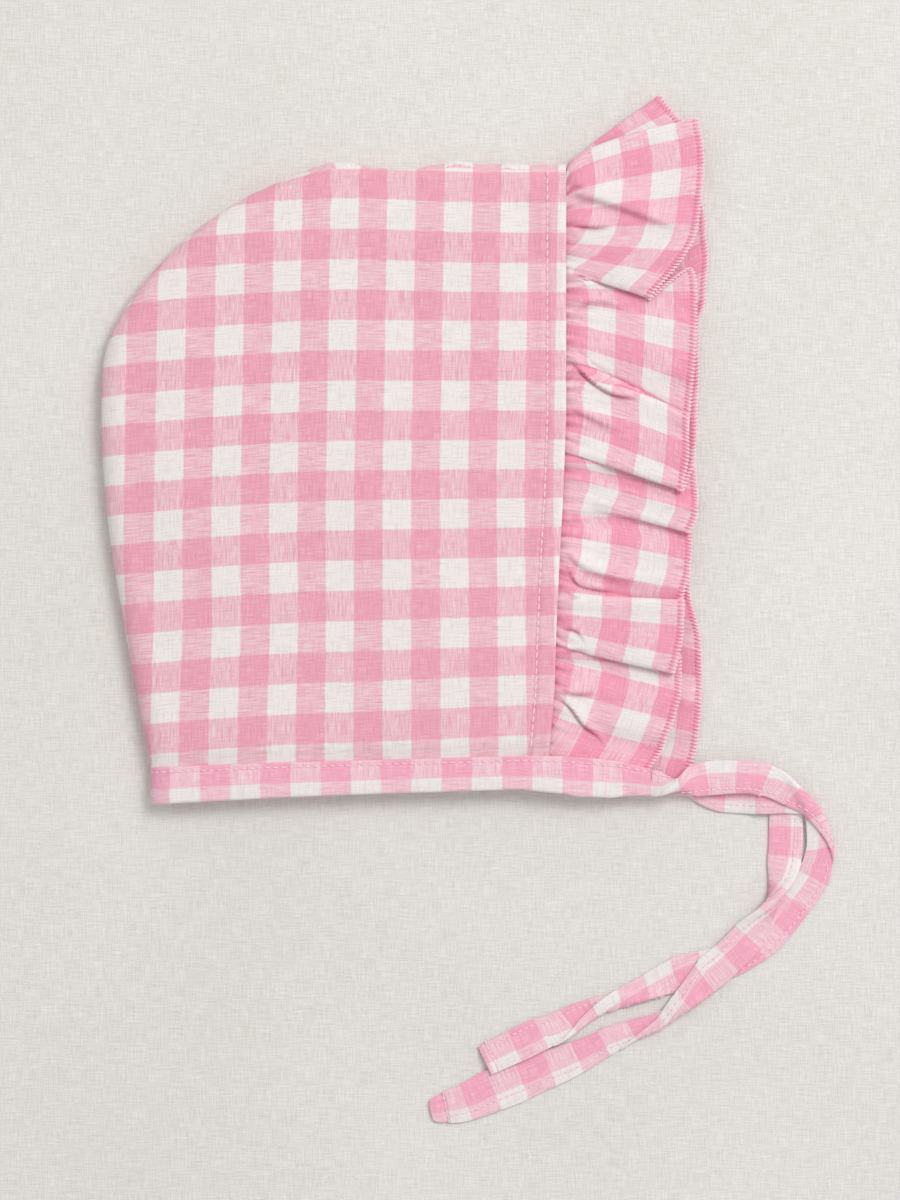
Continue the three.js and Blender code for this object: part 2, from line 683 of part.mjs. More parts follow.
// The right tie comes down from the band and lies over the left one; further on the left one lies over it
const OVER_TIE = TIE_THICKNESS + 2 * GAP;
const OVER_BAND = BAND_THICKNESS + 2 * GAP;
const LANDED_X = FACE_X + LOWER_BAND_REACH + TIE_WIDTH;

function rightTieLift({ place, share }) {
  const top = bandTop(FACE_X + UPPER_BAND_REACH);
  const start = (top - (BAND_THICKNESS + TIE_THICKNESS) / 2) * (1 - ease(share, 0, TIE_LANDING));
  if (share > RIGHT_OVER_LEFT.until) return start;
  const overBand = OVER_BAND * (1 - ease(place.x, LANDED_X - TIE_WIDTH, LANDED_X));
  const overTie = liftOver(place, leftTiePath, 0, RIGHT_OVER_LEFT.leftUntil, OVER_TIE);
  return Math.max(start, share < TIE_LANDING ? overBand : 0, overTie);
}

function leftTieLift({ place, share }) {
  const start = ((BAND_THICKNESS - TIE_THICKNESS) / 2) * (1 - ease(share, 0, TIE_LANDING));
  if (share < LEFT_OVER_RIGHT.from) return start;
  const { rightFrom, rightUntil } = LEFT_OVER_RIGHT;
  return Math.max(start, liftOver(place, rightTiePath, rightFrom, rightUntil, OVER_TIE));
}

// The bonnet
function cotton(colour) {
  return new THREE.MeshStandardMaterial({ color: colour, roughness: COTTON_ROUGHNESS, metalness: 0 });
}

function piece(name, geometry, colour) {
  const mesh = new THREE.Mesh(geometry, cotton(colour));
  mesh.name = name;
  return mesh;
}

const rightTie = tieGeometry(rightTiePath, RIGHT_TIE_TWISTS, rightTieLift, SQUARE_END);
const leftTie = tieGeometry(leftTiePath, LEFT_TIE_TWISTS, leftTieLift, PINCHED_END);

const hood = new THREE.Group();
hood.add(piece("right_side_panel", panelGeometry(1), PANEL_COLOUR));
hood.add(piece("left_side_panel", panelGeometry(-1), PANEL_COLOUR));

const trim = new THREE.Group();
trim.add(piece("ruffle", ruffleGeometry(), TRIM_COLOUR));
trim.add(piece("neck_band", bandGeometry(), TRIM_COLOUR));
trim.add(piece("right_tie", rightTie, TRIM_COLOUR));
trim.add(piece("left_tie", leftTie, TRIM_COLOUR));

const bonnet = new THREE.Group();
bonnet.add(hood, trim);

export default bonnet;
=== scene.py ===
# A baby's sun bonnet in pink gingham, lying on its side on a pale surface.
# Sizes are millimetres in the frame's own axes, +Z up; meshes are made in metres.
import math

import bpy
import numpy as np
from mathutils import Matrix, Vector


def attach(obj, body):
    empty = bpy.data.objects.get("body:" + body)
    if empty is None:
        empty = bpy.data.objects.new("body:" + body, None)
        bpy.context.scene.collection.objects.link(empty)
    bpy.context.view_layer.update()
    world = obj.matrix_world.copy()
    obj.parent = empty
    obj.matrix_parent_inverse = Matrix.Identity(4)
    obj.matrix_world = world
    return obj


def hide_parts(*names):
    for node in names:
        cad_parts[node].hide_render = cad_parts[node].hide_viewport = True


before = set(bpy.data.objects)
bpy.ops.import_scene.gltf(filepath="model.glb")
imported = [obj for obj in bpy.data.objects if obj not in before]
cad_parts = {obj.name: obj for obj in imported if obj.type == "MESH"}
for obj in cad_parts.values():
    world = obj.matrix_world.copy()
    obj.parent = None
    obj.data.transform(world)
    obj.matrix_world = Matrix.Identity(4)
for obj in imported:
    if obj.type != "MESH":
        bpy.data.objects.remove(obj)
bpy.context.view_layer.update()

MM = 0.001
IMAGE_WIDTH = 900
IMAGE_HEIGHT = 1200
MM_PER_PIXEL = 0.32
ORIGIN_PIXEL = (334, 482)

# Sizes of the solids
HOOD_DEPTH = 148
HOOD_HEIGHT = 193.5
HOOD_THICKNESS = 9.6
HOOD_BULGE = 1.3
SEAM_ROLL = 7
NECK_RISE = 3.7
HEM_WIDTH = 6
RUFFLE_REACH = 43
RUFFLE_TUCK = 2
RUFFLE_SHORT = 1.5
BAND_WIDTH = 11.5
BAND_THICKNESS = 2.2
BAND_LIP = 0.9
BAND_LAP = 2
BAND_DROP = 2
UPPER_BAND_REACH = 27
LOWER_BAND_REACH = 40
TIE_WIDTH = 10.8
TIE_THICKNESS = 1.2
RIGHT_TIE_LENGTH = 204
LEFT_TIE_LENGTH = 192
GAP = 0.3

# The cloth as it shows
CLOTH = 0.55
LAYER_PITCH = 1.5
WAVE_HEIGHT = 1.2
UPPER_LEVEL = 3.9
LOWER_LEVEL = 0.4
TUCK_DEPTH = 1.8
CHECK = 19.0
PANEL_CHECK_ALONG = 18.3
PANEL_CHECK_UP = 19.3

SEAM_LEVEL = HOOD_THICKNESS / 2
BACK_X = -HOOD_DEPTH / 2
FACE_X = HOOD_DEPTH / 2
CROWN_Y = (HOOD_HEIGHT + BAND_WIDTH) / 2
NECK_Y = CROWN_Y - HOOD_HEIGHT
NECK_INSET = BAND_LIP + GAP
INSET_FADE = 5

# The seam from the nape over the back and crown to the face: shares of the hood's depth and height
SEAM_LINE = [
    dict(across=0.107, up=0),
    dict(across=0.089, up=0.076),
    dict(across=0.045, up=0.258),
    dict(across=0.015, up=0.407),
    dict(across=0, up=0.598),
    dict(across=0.009, up=0.679),
    dict(across=0.035, up=0.732),
    dict(across=0.091, up=0.795),
    dict(across=0.16, up=0.853),
    dict(across=0.24, up=0.904),
    dict(across=0.333, up=0.947),
    dict(across=0.444, up=0.987),
    dict(across=0.522, up=1),
    dict(across=0.768, up=1),
    dict(across=1, up=0.994),
]
CORNER_SHARE = 0.54
SEAM_END_SHARE = 0.08

# The face edge from the neck to the crown, in the same shares
FACE_LINE = [
    dict(up=-0.02, across=0.96),
    dict(up=0.026, across=0.964),
    dict(up=0.126, across=0.975),
    dict(up=0.225, across=0.979),
    dict(up=0.358, across=0.987),
    dict(up=0.449, across=0.994),
    dict(up=0.573, across=1),
    dict(up=1, across=1),
]

# The neck line: shares of the hood's depth and of its rise
NECK_LINE = [
    dict(across=0.107, rise=0),
    dict(across=0.37, rise=0.43),
    dict(across=0.9, rise=1),
    dict(across=0.99, rise=1),
    dict(across=1.06, rise=0.78),
    dict(across=1.12, rise=0.5),
    dict(across=1.19, rise=-0.2),
    dict(across=1.3, rise=-1.2),
]

# The band's width where it shows, as shares of its usual width
BAND_WIDTHS = [
    dict(across=0.107, width=1.03),
    dict(across=0.55, width=0.95),
    dict(across=0.9, width=0.93),
    dict(across=1.03, width=1.1),
    dict(across=1.1, width=1.04),
    dict(across=1.15, width=0.86),
    dict(across=1.19, width=0.72),
    dict(across=1.275, width=0.5),
]

# The pleats of the ruffle's upper half, from the crown to the neck: roots (start, end) and hem
# (fan_start, fan_end) as shares of the face edge; the hem's reach at even steps from start to end;
# head and tail are how far it is folded back under itself, and under is the reach below its tail;
# bend says how its sides curve on their way to the hem, and pink where a pink check meets the hem.
UPPER_PLEATS = [
    dict(start=0.016, end=0.172, fan_start=-0.074, fan_end=0.226, head=0.045, tail=0.05, under=0.95,
         reach=(0.978, 1.005, 1.02, 1.01, 0.985, 0.975, 0.89, 0.76, 0.63), bend=(0.5, 1.1), pink=-0.0225),
    dict(start=0.212, end=0.325, fan_start=0.245, fan_end=0.4, reach=(0.97, 0.955, 0.925),
         bend=(1.1, 1.2), pink=0.239),
    dict(start=0.372, end=0.468, fan_start=0.42, fan_end=0.547, reach=(0.903, 0.905, 0.866),
         head=0.03, tail=0.04, under=0.96, bend=(1.9, 0.95), pink=0.493),
    dict(start=0.508, end=0.556, fan_start=0.565, fan_end=0.618, reach=(0.975, 0.965, 0.918),
         tail=0.022, bend=(1.1, 1.2), pink=0.5616),
    dict(start=0.6, end=0.685, fan_start=0.64, fan_end=0.73, reach=(0.93, 0.915, 0.86),
         bend=(1.4, 0.8), pink=0.637),
    dict(start=0.73, end=0.786, fan_start=0.73, fan_end=0.852, reach=(0.873, 0.86, 0.8),
         head=0.025, tail=0.03, under=0.85, bend=(1, 0.7), pink=0.798),
    dict(start=0.83, end=0.93, fan_start=0.885, fan_end=0.985, reach=(0.85, 0.79, 0.7),
         bend=(1, 0.8), pink=0.907),
]
LOWER_PLEATS = [
    dict(start=0.04, end=0.15, fan_start=-0.05, fan_end=0.06, reach=(0.93, 0.97, 1)),
    dict(start=0.17, end=0.3, fan_start=0.08, fan_end=0.235, reach=(1.03, 1.057, 1.03)),
    dict(start=0.33, end=0.47, fan_start=0.26, fan_end=0.47, reach=(0.99, 0.985, 0.965)),
    dict(start=0.5, end=0.64, fan_start=0.5, fan_end=0.7, reach=(0.95, 0.94, 0.92)),
    dict(start=0.66, end=0.8, fan_start=0.73, fan_end=0.85, reach=(0.93, 1, 1.01), pink=0.842),
    dict(start=0.83, end=0.94, fan_start=0.87, fan_end=0.98, reach=(1.015, 1, 0.97), pink=0.929),
]
CROWN_FOLD = dict(root=0.002, fan=-0.115, reach=0.709, bend=0.85)
BACK_LAYER = dict(root=0.006, fan=-0.06, reach=0.9, bend=0.8)

# Small folds on the upper half, as lines in shares of the reach (out) and of the face edge (down).
# The cloth rises by height towards the line, over the width above it, and drops within the width below.
CREASES = [
    dict(line=((0.01, 0.034), (0.17, 0.042)), height=0.7, above=2, below=0.5),
    dict(line=((0.06, 0.05), (0.3, 0.064), (0.5, 0.08), (0.9, 0.112)), height=1.9, above=6, below=1),
    dict(line=((0.01, 0.102), (0.2, 0.106), (0.36, 0.104)), height=1.2, above=3, below=0.4),
    dict(line=((0.01, 0.11), (0.1, 0.127)), height=0.6, above=1.5, below=0.4),
    dict(line=((0.01, 0.25), (0.1, 0.234), (0.28, 0.228), (0.5, 0.245)), height=1.6, above=3.5, below=1),
    dict(line=((0.06, 0.335), (0.2, 0.366), (0.38, 0.387), (0.62, 0.392)), height=1.7, above=3.4, below=0.35),
    dict(line=((0.02, 0.302), (0.2, 0.335), (0.4, 0.362), (0.54, 0.37)), height=-0.7, above=0.8, below=2),
    dict(line=((0.01, 0.404), (0.25, 0.43), (0.45, 0.448)), height=1.1, above=3, below=0.9),
    dict(line=((0.01, 0.648), (0.1, 0.668), (0.32, 0.687), (0.6, 0.697)), height=1.2, above=3, below=1),
    dict(line=((0.01, 0.671), (0.08, 0.7), (0.24, 0.711), (0.4, 0.714)), height=1.1, above=2, below=0.4),
    dict(line=((0, 0.713), (0.06, 0.723), (0.12, 0.721)), height=0.6, above=1, below=0.3),
    dict(line=((-0.04, 0.776), (0.07, 0.778), (0.17, 0.808)), height=0.8, above=2, below=0.4),
    dict(line=((-0.05, 0.815), (0.08, 0.811), (0.2, 0.812)), height=0.6, above=1.5, below=0.4),
    dict(line=((-0.05, 0.879), (0.08, 0.884), (0.25, 0.882)), height=1, above=3, below=0.5),
    dict(line=((-0.06, 0.889), (0.04, 0.91), (0.13, 0.937), (0.24, 0.956), (0.33, 0.99)),
         height=1.3, above=3.2, below=0.35),
]

# The ties' middles as they lie, in mm. The left tie is folded over a corner between its two legs.
RIGHT_TIE_LEGS = [[
    (101.1, -96), (108.2, -96.8), (117.1, -95), (127.7, -94.2), (137.6, -95.4), (145.9, -102.4),
    (150.1, -106.9), (152.6, -112), (153.9, -116.8), (153.8, -124.5), (150.4, -130.6), (143.4, -139.8),
    (137.3, -146.6), (132.2, -150.4), (126.4, -153.3), (118.7, -155), (104.6, -158.7), (95.4, -161.3),
    (87.7, -163.5), (82.9, -165.4), (76.8, -169.3), (72.3, -172.8), (66.9, -176), (56.3, -181.1), (48.3, -185),
]]
LEFT_TIE_LEGS = [
    [(113.9, -97.5), (118.1, -99.2), (122.9, -100.2), (128.3, -100.6), (144.6, -100.8)],
    [(144.6, -100.8), (144.6, -108.2), (144.5, -116.8), (143, -126.1), (140.2, -134.1), (135.4, -141.8),
     (129, -149.1), (121, -156.2), (111.6, -162.9), (105.8, -167.4), (101.8, -170.7), (95.6, -173.9),
     (87.2, -179.1), (78.4, -183.7), (69.4, -187.4), (59, -191.3), (51.8, -194.2), (41.2, -198.8),
     (31, -201.2)],
]
# Half turns: a roll turns the strip about its middle, a fold lays one side under the other along a moving
# crease, a corner folds it straight across. start and end are mm along the tie, side 1 is its left side.
RIGHT_TIE_TURNS = [
    dict(kind="roll", start=0.5, end=15, side=-1),
    dict(kind="fold", start=38, end=70, side=1),
    dict(kind="fold", start=131, end=177, side=1),
]
LEFT_TIE_TURNS = [
    dict(kind="corner", start=0, end=0, side=1),
    dict(kind="roll", start=50, end=79, side=1),
    dict(kind="fold", start=97, end=133, side=1),
]
# Underside above the surface, sideways slope, and width as a share of the tie's width
RIGHT_TIE_PROFILE = [
    dict(at=0, lift=5.4, slope=0, width=0.74),
    dict(at=7, lift=4.4, slope=0, width=0.85),
    dict(at=13, lift=3.3, slope=0, width=0.95),
    dict(at=20, lift=3.2, slope=0, width=1),
    dict(at=46, lift=3.1, slope=0, width=1),
    dict(at=58, lift=1.4, slope=0, width=1),
    dict(at=70, lift=0.1, slope=0, width=1),
    dict(at=160, lift=0.05, slope=0, width=0.97),
    dict(at=176, lift=1, slope=0.15, width=0.97),
    dict(at=194, lift=1, slope=0.15, width=0.97),
    dict(at=200, lift=1, slope=0.15, width=0.95),
]
LEFT_TIE_PROFILE = [
    dict(at=0, lift=0.4, slope=0, width=0.5),
    dict(at=5, lift=0.3, slope=0, width=0.74),
    dict(at=10, lift=0.1, slope=0, width=0.94),
    dict(at=20, lift=0.05, slope=0, width=1),
    dict(at=72, lift=0.05, slope=0, width=1),
    dict(at=82, lift=1.45, slope=0, width=1.02),
    dict(at=108, lift=1.45, slope=0, width=1),
    dict(at=115, lift=0.6, slope=0, width=0.9),
    dict(at=121, lift=0.1, slope=0, width=0.82),
    dict(at=128, lift=0.05, slope=0, width=0.76),
    dict(at=137, lift=0.05, slope=0, width=0.8),
    dict(at=147, lift=0.05, slope=0, width=1),
    dict(at=156, lift=0.05, slope=0, width=1.17),
    dict(at=168, lift=0.05, slope=0, width=1.26),
    dict(at=177, lift=0.05, slope=0, width=1.24),
    dict(at=187, lift=0.05, slope=0, width=1.06),
    dict(at=190.5, lift=0.05, slope=0, width=0.98),
    dict(at=192, lift=0.05, slope=0, width=0.84),
    dict(at=193.5, lift=0.05, slope=0, width=0.86),
    dict(at=195.3, lift=0.05, slope=0, width=0.74),
    dict(at=196.6, lift=0.05, slope=0, width=0.5),
    dict(at=197.5, lift=0.05, slope=0, width=0.32),
]
TWIST_HEIGHT = 0.38
NECK_THICKNESS = 4.2
CREASE_RADIUS = 0.5


# Numbers
def mix(a, b, share):
    return a + (b - a) * share


def smoothstep(value, low, high):
    share = np.clip((value - low) / (high - low), 0, 1)
    return share * share * (3 - 2 * share)


def look_up(table, column, at, value):
    return np.interp(at, [row[column] for row in table], [row[value] for row in table])


class SmoothCurve:
    """A centripetal Catmull-Rom curve through a few points, walked by shares of its length."""

    STEPS = 40

    def __init__(self, points):
        points = np.array(points, float)
        points = np.vstack([2 * points[0] - points[1], points, 2 * points[-1] - points[-2]])
        pieces = []
        for a, b, c, d in zip(points, points[1:], points[2:], points[3:]):
            knots = np.cumsum([0] + [np.linalg.norm(q - p) ** 0.5 for p, q in ((a, b), (b, c), (c, d))])
            t = np.linspace(knots[1], knots[2], self.STEPS, endpoint=False)[:, None]
            ab = mix(a, b, (t - knots[0]) / (knots[1] - knots[0]))
            bc = mix(b, c, (t - knots[1]) / (knots[2] - knots[1]))
            cd = mix(c, d, (t - knots[2]) / (knots[3] - knots[2]))
            abc = mix(ab, bc, (t - knots[0]) / (knots[2] - knots[0]))
            bcd = mix(bc, cd, (t - knots[1]) / (knots[3] - knots[1]))
            pieces.append(mix(abc, bcd, (t - knots[1]) / (knots[2] - knots[1])))
        self.points = np.vstack(pieces + [points[-2]])
        steps = np.linalg.norm(np.diff(self.points, axis=0), axis=1)
        self.lengths = np.concatenate([[0], np.cumsum(steps)])
        self.length = self.lengths[-1]

    def at(self, share):
        along = np.asarray(share) * self.length
        return np.stack([np.interp(along, self.lengths, column) for column in self.points.T], axis=-1)

    def tangent(self, share):
        small = 0.3 / self.length
        ahead = self.at(np.clip(np.asarray(share) + small, 0, 1))
        behind = self.at(np.clip(np.asarray(share) - small, 0, 1))
        return unit(ahead - behind)


def unit(vectors):
    return vectors / np.maximum(np.linalg.norm(vectors, axis=-1, keepdims=True), 1e-12)


# The hood's lines
def across_x(share):
    return BACK_X + share * HOOD_DEPTH


def neck_line(x):
    return NECK_Y + NECK_RISE * look_up(NECK_LINE, "across", (x - BACK_X) / HOOD_DEPTH, "rise")


def face_edge_x(y):
    return across_x(look_up(FACE_LINE, "up", (y - NECK_Y) / HOOD_HEIGHT, "across"))


def neck_inset(x, y):
    return NECK_INSET * (1 - smoothstep(y - neck_line(x), GAP, GAP + INSET_FADE))


FACE_BOTTOM_Y = float(neck_line(face_edge_x(NECK_Y))) - BAND_LAP
FACE_TOP_Y = NECK_Y + HOOD_HEIGHT * SEAM_LINE[-1]["up"]
FACE_LENGTH = FACE_TOP_Y - FACE_BOTTOM_Y

seam_curve = SmoothCurve(
    [(across_x(SEAM_LINE[0]["across"]), NECK_Y - BAND_LAP)]
    + [(across_x(row["across"]), NECK_Y + row["up"] * HOOD_HEIGHT) for row in SEAM_LINE]
)


def seam_inward(share):
    share = np.asarray(share)[..., None]
    tangent = seam_curve.tangent(share[..., 0])
    inward = np.stack([tangent[..., 1], -tangent[..., 0]], axis=-1)
    inward = mix(inward, np.array([1.0, 0.0]), 1 - smoothstep(share, 0, SEAM_END_SHARE))
    inward = mix(inward, np.array([0.0, -1.0]), smoothstep(share, 1 - SEAM_END_SHARE, 1))
    return unit(inward)


def inside_seam(share, distance):
    return seam_curve.at(share) + seam_inward(share) * distance


# Meshes
def grid_faces(columns, rows):
    a = (np.arange(columns - 1)[:, None] * rows + np.arange(rows - 1)[None, :]).ravel()
    return np.stack([a, a + rows, a + rows + 1, a + 1], axis=1)


def vertex_normals(points, faces):
    a, b, c, d = (points[faces[:, k]] for k in range(4))
    normals = np.cross(c - a, d - b)
    total = np.zeros_like(points)
    for k in range(4):
        np.add.at(total, faces[:, k], normals)
    return unit(total)


def boundary(faces):
    """The edges of a quad mesh that belong to one face only."""
    edges = np.concatenate([faces[:, [k, (k + 1) % 4]] for k in range(4)])
    keys = {}
    for start, end in edges.tolist():
        if (end, start) in keys:
            del keys[(end, start)]
        else:
            keys[(start, end)] = True
    return np.array(list(keys))


def make_mesh(name, points, faces, cloth=None, material=None, smooth_angle=60):
    mesh = bpy.data.meshes.new(name)
    mesh.from_pydata((points * MM).tolist(), [], faces if isinstance(faces, list) else faces.tolist())
    if cloth is not None:
        attribute = mesh.attributes.new("cloth", "FLOAT_VECTOR", "POINT")
        attribute.data.foreach_set("vector", np.asarray(cloth, float).ravel())
    mesh.polygons.foreach_set("use_smooth", [True] * len(mesh.polygons))
    mesh.set_sharp_from_angle(angle=math.radians(smooth_angle))
    obj = bpy.data.objects.new(name, mesh)
    bpy.context.scene.collection.objects.link(obj)
    if material:
        mesh.materials.append(material)
    return obj


def make_shell(name, outer, faces, cloth, material, thickness=CLOTH):
    """A closed sheet: its outer side is given, its faces turn to the left round the outside."""
    normals = vertex_normals(outer, faces)
    inner = outer - normals * thickness
    count = len(outer)
    rim = boundary(faces)
    inside = faces[:, ::-1] + count
    edge = np.stack([rim[:, 1], rim[:, 0], rim[:, 0] + count, rim[:, 1] + count], axis=1)
    every = np.vstack([faces, inside, edge])
    return make_mesh(name, np.vstack([outer, inner]), every, np.vstack([cloth, cloth]), material)


def make_sweep(name, sections, cloth, material):
    """A closed section carried through a list of places, with flat ends."""
    stations, sides = sections.shape[:2]
    faces = []
    for i in range(stations - 1):
        for j in range(sides):
            a = i * sides + j
            b = i * sides + (j + 1) % sides
            faces.append((a, b, b + sides, a + sides))
    last = (stations - 1) * sides
    faces.append(tuple(range(sides - 1, -1, -1)))
    faces.append(tuple(range(last, last + sides)))
    return make_mesh(name, sections.reshape(-1, 3), faces, cloth.reshape(-1, 3), material)


def make_thread(name, path, radius, material, sides, tone):
    """A round thread along a path, tone is how pale it is from 0 to 1."""
    tangents = unit(np.gradient(path, axis=0))
    helper = np.where(np.abs(tangents[:, 2:]) < 0.9, [[0, 0, 1.0]], [[1.0, 0, 0]])
    one = unit(np.cross(tangents, helper))
    two = np.cross(tangents, one)
    angles = np.linspace(0, 2 * math.pi, sides, endpoint=False)
    ring = one[:, None] * np.cos(angles)[None, :, None] + two[:, None] * np.sin(angles)[None, :, None]
    sections = path[:, None] + ring * radius
    return make_sweep(name, sections, np.broadcast_to(tone[:, None, None], sections.shape), material)


STITCH_SIDES = 6
STITCH_RINGS = 5


def make_stitches(name, places, tangents, normals, length, width, height, material):
    """A row of short stitches, each a small rounded bar lying on the cloth."""
    across = unit(np.cross(normals, tangents))
    points, faces = [], []
    turns = np.linspace(0, 2 * math.pi, STITCH_SIDES, endpoint=False)
    slopes = np.linspace(-math.pi / 2, math.pi / 2, STITCH_RINGS + 2)[1:-1]
    for place, tangent, side, up in zip(places, tangents, across, normals):
        first = len(points)
        points.append(place - tangent * length / 2)
        for slope in slopes:
            middle = place + tangent * math.sin(slope) * length / 2
            for turn in turns:
                spread = math.cos(slope) ** 0.6
                points.append(middle + side * math.cos(turn) * width / 2 * spread
                              + up * math.sin(turn) * height / 2 * spread)
        points.append(place + tangent * length / 2)
        end = len(points) - 1
        for k in range(STITCH_SIDES):
            n = (k + 1) % STITCH_SIDES
            faces.append((first, first + 1 + n, first + 1 + k))
            for r in range(STITCH_RINGS - 1):
                a = first + 1 + r * STITCH_SIDES
                faces.append((a + k, a + n, a + n + STITCH_SIDES, a + k + STITCH_SIDES))
            a = first + 1 + (STITCH_RINGS - 1) * STITCH_SIDES
            faces.append((a + k, a + n, end))
    return make_mesh(name, np.array(points), faces, None, material)


# Materials
class Surface:
    """A material and short ways to add nodes to it."""

    def __init__(self, name, roughness, sheen=0.0, specular=0.3):
        self.material = bpy.data.materials.new(name)
        self.material.use_nodes = True
        self.tree = self.material.node_tree
        self.shader = self.tree.nodes["Principled BSDF"]
        self.shader.inputs["Roughness"].default_value = roughness
        self.shader.inputs["Sheen Weight"].default_value = sheen
        self.shader.inputs["Sheen Roughness"].default_value = 0.5
        self.shader.inputs["Specular IOR Level"].default_value = specular

    def node(self, kind, **settings):
        node = self.tree.nodes.new(kind)
        for key, value in settings.items():
            setattr(node, key, value)
        return node

    def link(self, value, socket):
        if isinstance(value, bpy.types.NodeSocket):
            self.tree.links.new(value, socket)
        else:
            socket.default_value = value

    def math(self, operation, a, b=0.0, clamp=False):
        node = self.node("ShaderNodeMath", operation=operation, use_clamp=clamp)
        self.link(a, node.inputs[0])
        self.link(b, node.inputs[1])
        return node.outputs[0]

    def vector(self, x, y, z=0.0):
        node = self.node("ShaderNodeCombineXYZ")
        for value, socket in zip((x, y, z), node.inputs):
            self.link(value, socket)
        return node.outputs[0]

    def noise(self, vector, scale, detail=2.0, roughness=0.5):
        node = self.node("ShaderNodeTexNoise")
        self.link(vector, node.inputs["Vector"])
        node.inputs["Scale"].default_value = scale
        node.inputs["Detail"].default_value = detail
        node.inputs["Roughness"].default_value = roughness
        return node.outputs["Fac"]

    def blend(self, share, a, b, kind="MIX"):
        node = self.node("ShaderNodeMix", data_type="RGBA", blend_type=kind)
        self.link(share, node.inputs["Factor"])
        self.link(a, node.inputs["A"])
        self.link(b, node.inputs["B"])
        return node.outputs["Result"]

    def bump(self, height, distance, strength=1.0):
        node = self.node("ShaderNodeBump")
        node.inputs["Distance"].default_value = distance
        node.inputs["Strength"].default_value = strength
        self.link(height, node.inputs["Height"])
        self.link(node.outputs["Normal"], self.shader.inputs["Normal"])

    def colour(self, value):
        self.link(value, self.shader.inputs["Base Color"])


def linear(red, green, blue):
    """An sRGB colour of 0 to 255 as a linear one with alpha."""
    def channel(value):
        value /= 255
        return value / 12.92 if value <= 0.04045 else ((value + 0.055) / 1.055) ** 2.4
    return (channel(red), channel(green), channel(blue), 1.0)


WHITE_COTTON = linear(246, 242, 240)
PALE_PINK = linear(246, 199, 210)
FULL_PINK = linear(244, 170, 190)
BAND_PALE = linear(250, 206, 219)
BAND_PINK = linear(252, 177, 202)
RUFFLE_PALE = linear(249, 200, 214)
RUFFLE_PINK = linear(248, 164, 190)
THREAD_SHADE = (0.85, 0.81, 0.82, 1)
# Painted shade: the colour that the ruffle's folds, gathers and root are darkened towards
FOLD_SHADE = (0.66, 0.4, 0.46, 1)
THREAD_PITCH = 0.62


def gingham(name, along, up, along_pink, up_pink, white, pale, pink):
    """Woven checks on the cloth's own coordinates; along_pink and up_pink are the middles of pink stripes; the cloth
    attribute's third number paints shade into folds.
    """
    s = Surface(name, roughness=0.88, sheen=0.15)
    place = s.node("ShaderNodeAttribute", attribute_name="cloth").outputs["Vector"]
    parts = s.node("ShaderNodeSeparateXYZ")
    s.link(place, parts.inputs[0])
    u, v = parts.outputs[0], parts.outputs[1]

    def stripes(value, other, period, middle):
        wobble = s.math("MULTIPLY", s.noise(s.vector(s.math("MULTIPLY", other, 1.6), value), 1.0), 0.35)
        place_ = s.math("ADD", s.math("SUBTRACT", value, middle + 0.17), wobble)
        wave = s.math("COSINE", s.math("MULTIPLY", place_, 2 * math.pi / period))
        return s.math("ADD", s.math("MULTIPLY", wave, 7.0), 0.5, clamp=True)

    warp = stripes(u, v, along, along_pink)
    weft = stripes(v, u, up, up_pink)
    streak_warp = s.noise(s.vector(s.math("MULTIPLY", u, 2.4), s.math("MULTIPLY", v, 0.16)), 1.0, 3.0, 0.6)
    streak_weft = s.noise(s.vector(s.math("MULTIPLY", u, 0.16), s.math("MULTIPLY", v, 2.4)), 1.0, 3.0, 0.6)

    def strength(stripe, streak):
        return s.math("MULTIPLY", stripe, s.math("ADD", s.math("MULTIPLY", streak, 1.3), -0.15))

    depth = s.math("ADD", strength(warp, streak_weft), strength(weft, streak_warp))
    mottle = s.math("MULTIPLY", s.math("SUBTRACT", s.noise(place, 0.05, 3.0), 0.5), 0.16)
    strongest = s.math("MAXIMUM", streak_warp, streak_weft)
    threads = s.math("MULTIPLY", s.math("SUBTRACT", strongest, 0.45), 0.35)
    depth = s.math("ADD", depth, s.math("ADD", s.math("MULTIPLY", depth, mottle), threads), clamp=True)
    low = s.blend(s.math("MULTIPLY", depth, 2.0, clamp=True), white, pale)
    high = s.math("SUBTRACT", s.math("MULTIPLY", depth, 2.0), 1.0, clamp=True)
    cloth = s.blend(high, low, pink)
    dark_threads = s.math("MULTIPLY", s.math("SUBTRACT", strongest, 0.5), 4.0, clamp=True)
    cloth = s.blend(dark_threads, cloth, THREAD_SHADE, "MULTIPLY")
    # Painted shade: where the cloth attribute's third number is high, the checks are darkened towards FOLD_SHADE
    s.colour(s.blend(parts.outputs[2], cloth, FOLD_SHADE, "MULTIPLY"))
    turn = 2 * math.pi / THREAD_PITCH
    weave = s.math("MULTIPLY", s.math("SINE", s.math("MULTIPLY", u, turn)),
                   s.math("SINE", s.math("MULTIPLY", v, turn)))
    slubs = s.math("ADD", s.math("MULTIPLY", streak_warp, 1.6), s.math("MULTIPLY", streak_weft, 1.6))
    s.bump(s.math("ADD", s.math("MULTIPLY", weave, 0.6), slubs), 0.00009, 0.7)
    return s.material


def yarn(name, dark, light):
    """Sewing thread: a plain twisted colour with small changes along it."""
    s = Surface(name, roughness=0.7, sheen=0.2)
    place = s.node("ShaderNodeTexCoord").outputs["Object"]
    s.colour(s.blend(s.noise(place, 900.0, 2.0), dark, light))
    s.bump(s.noise(place, 2600.0, 1.0), 0.00005, 0.6)
    return s.material


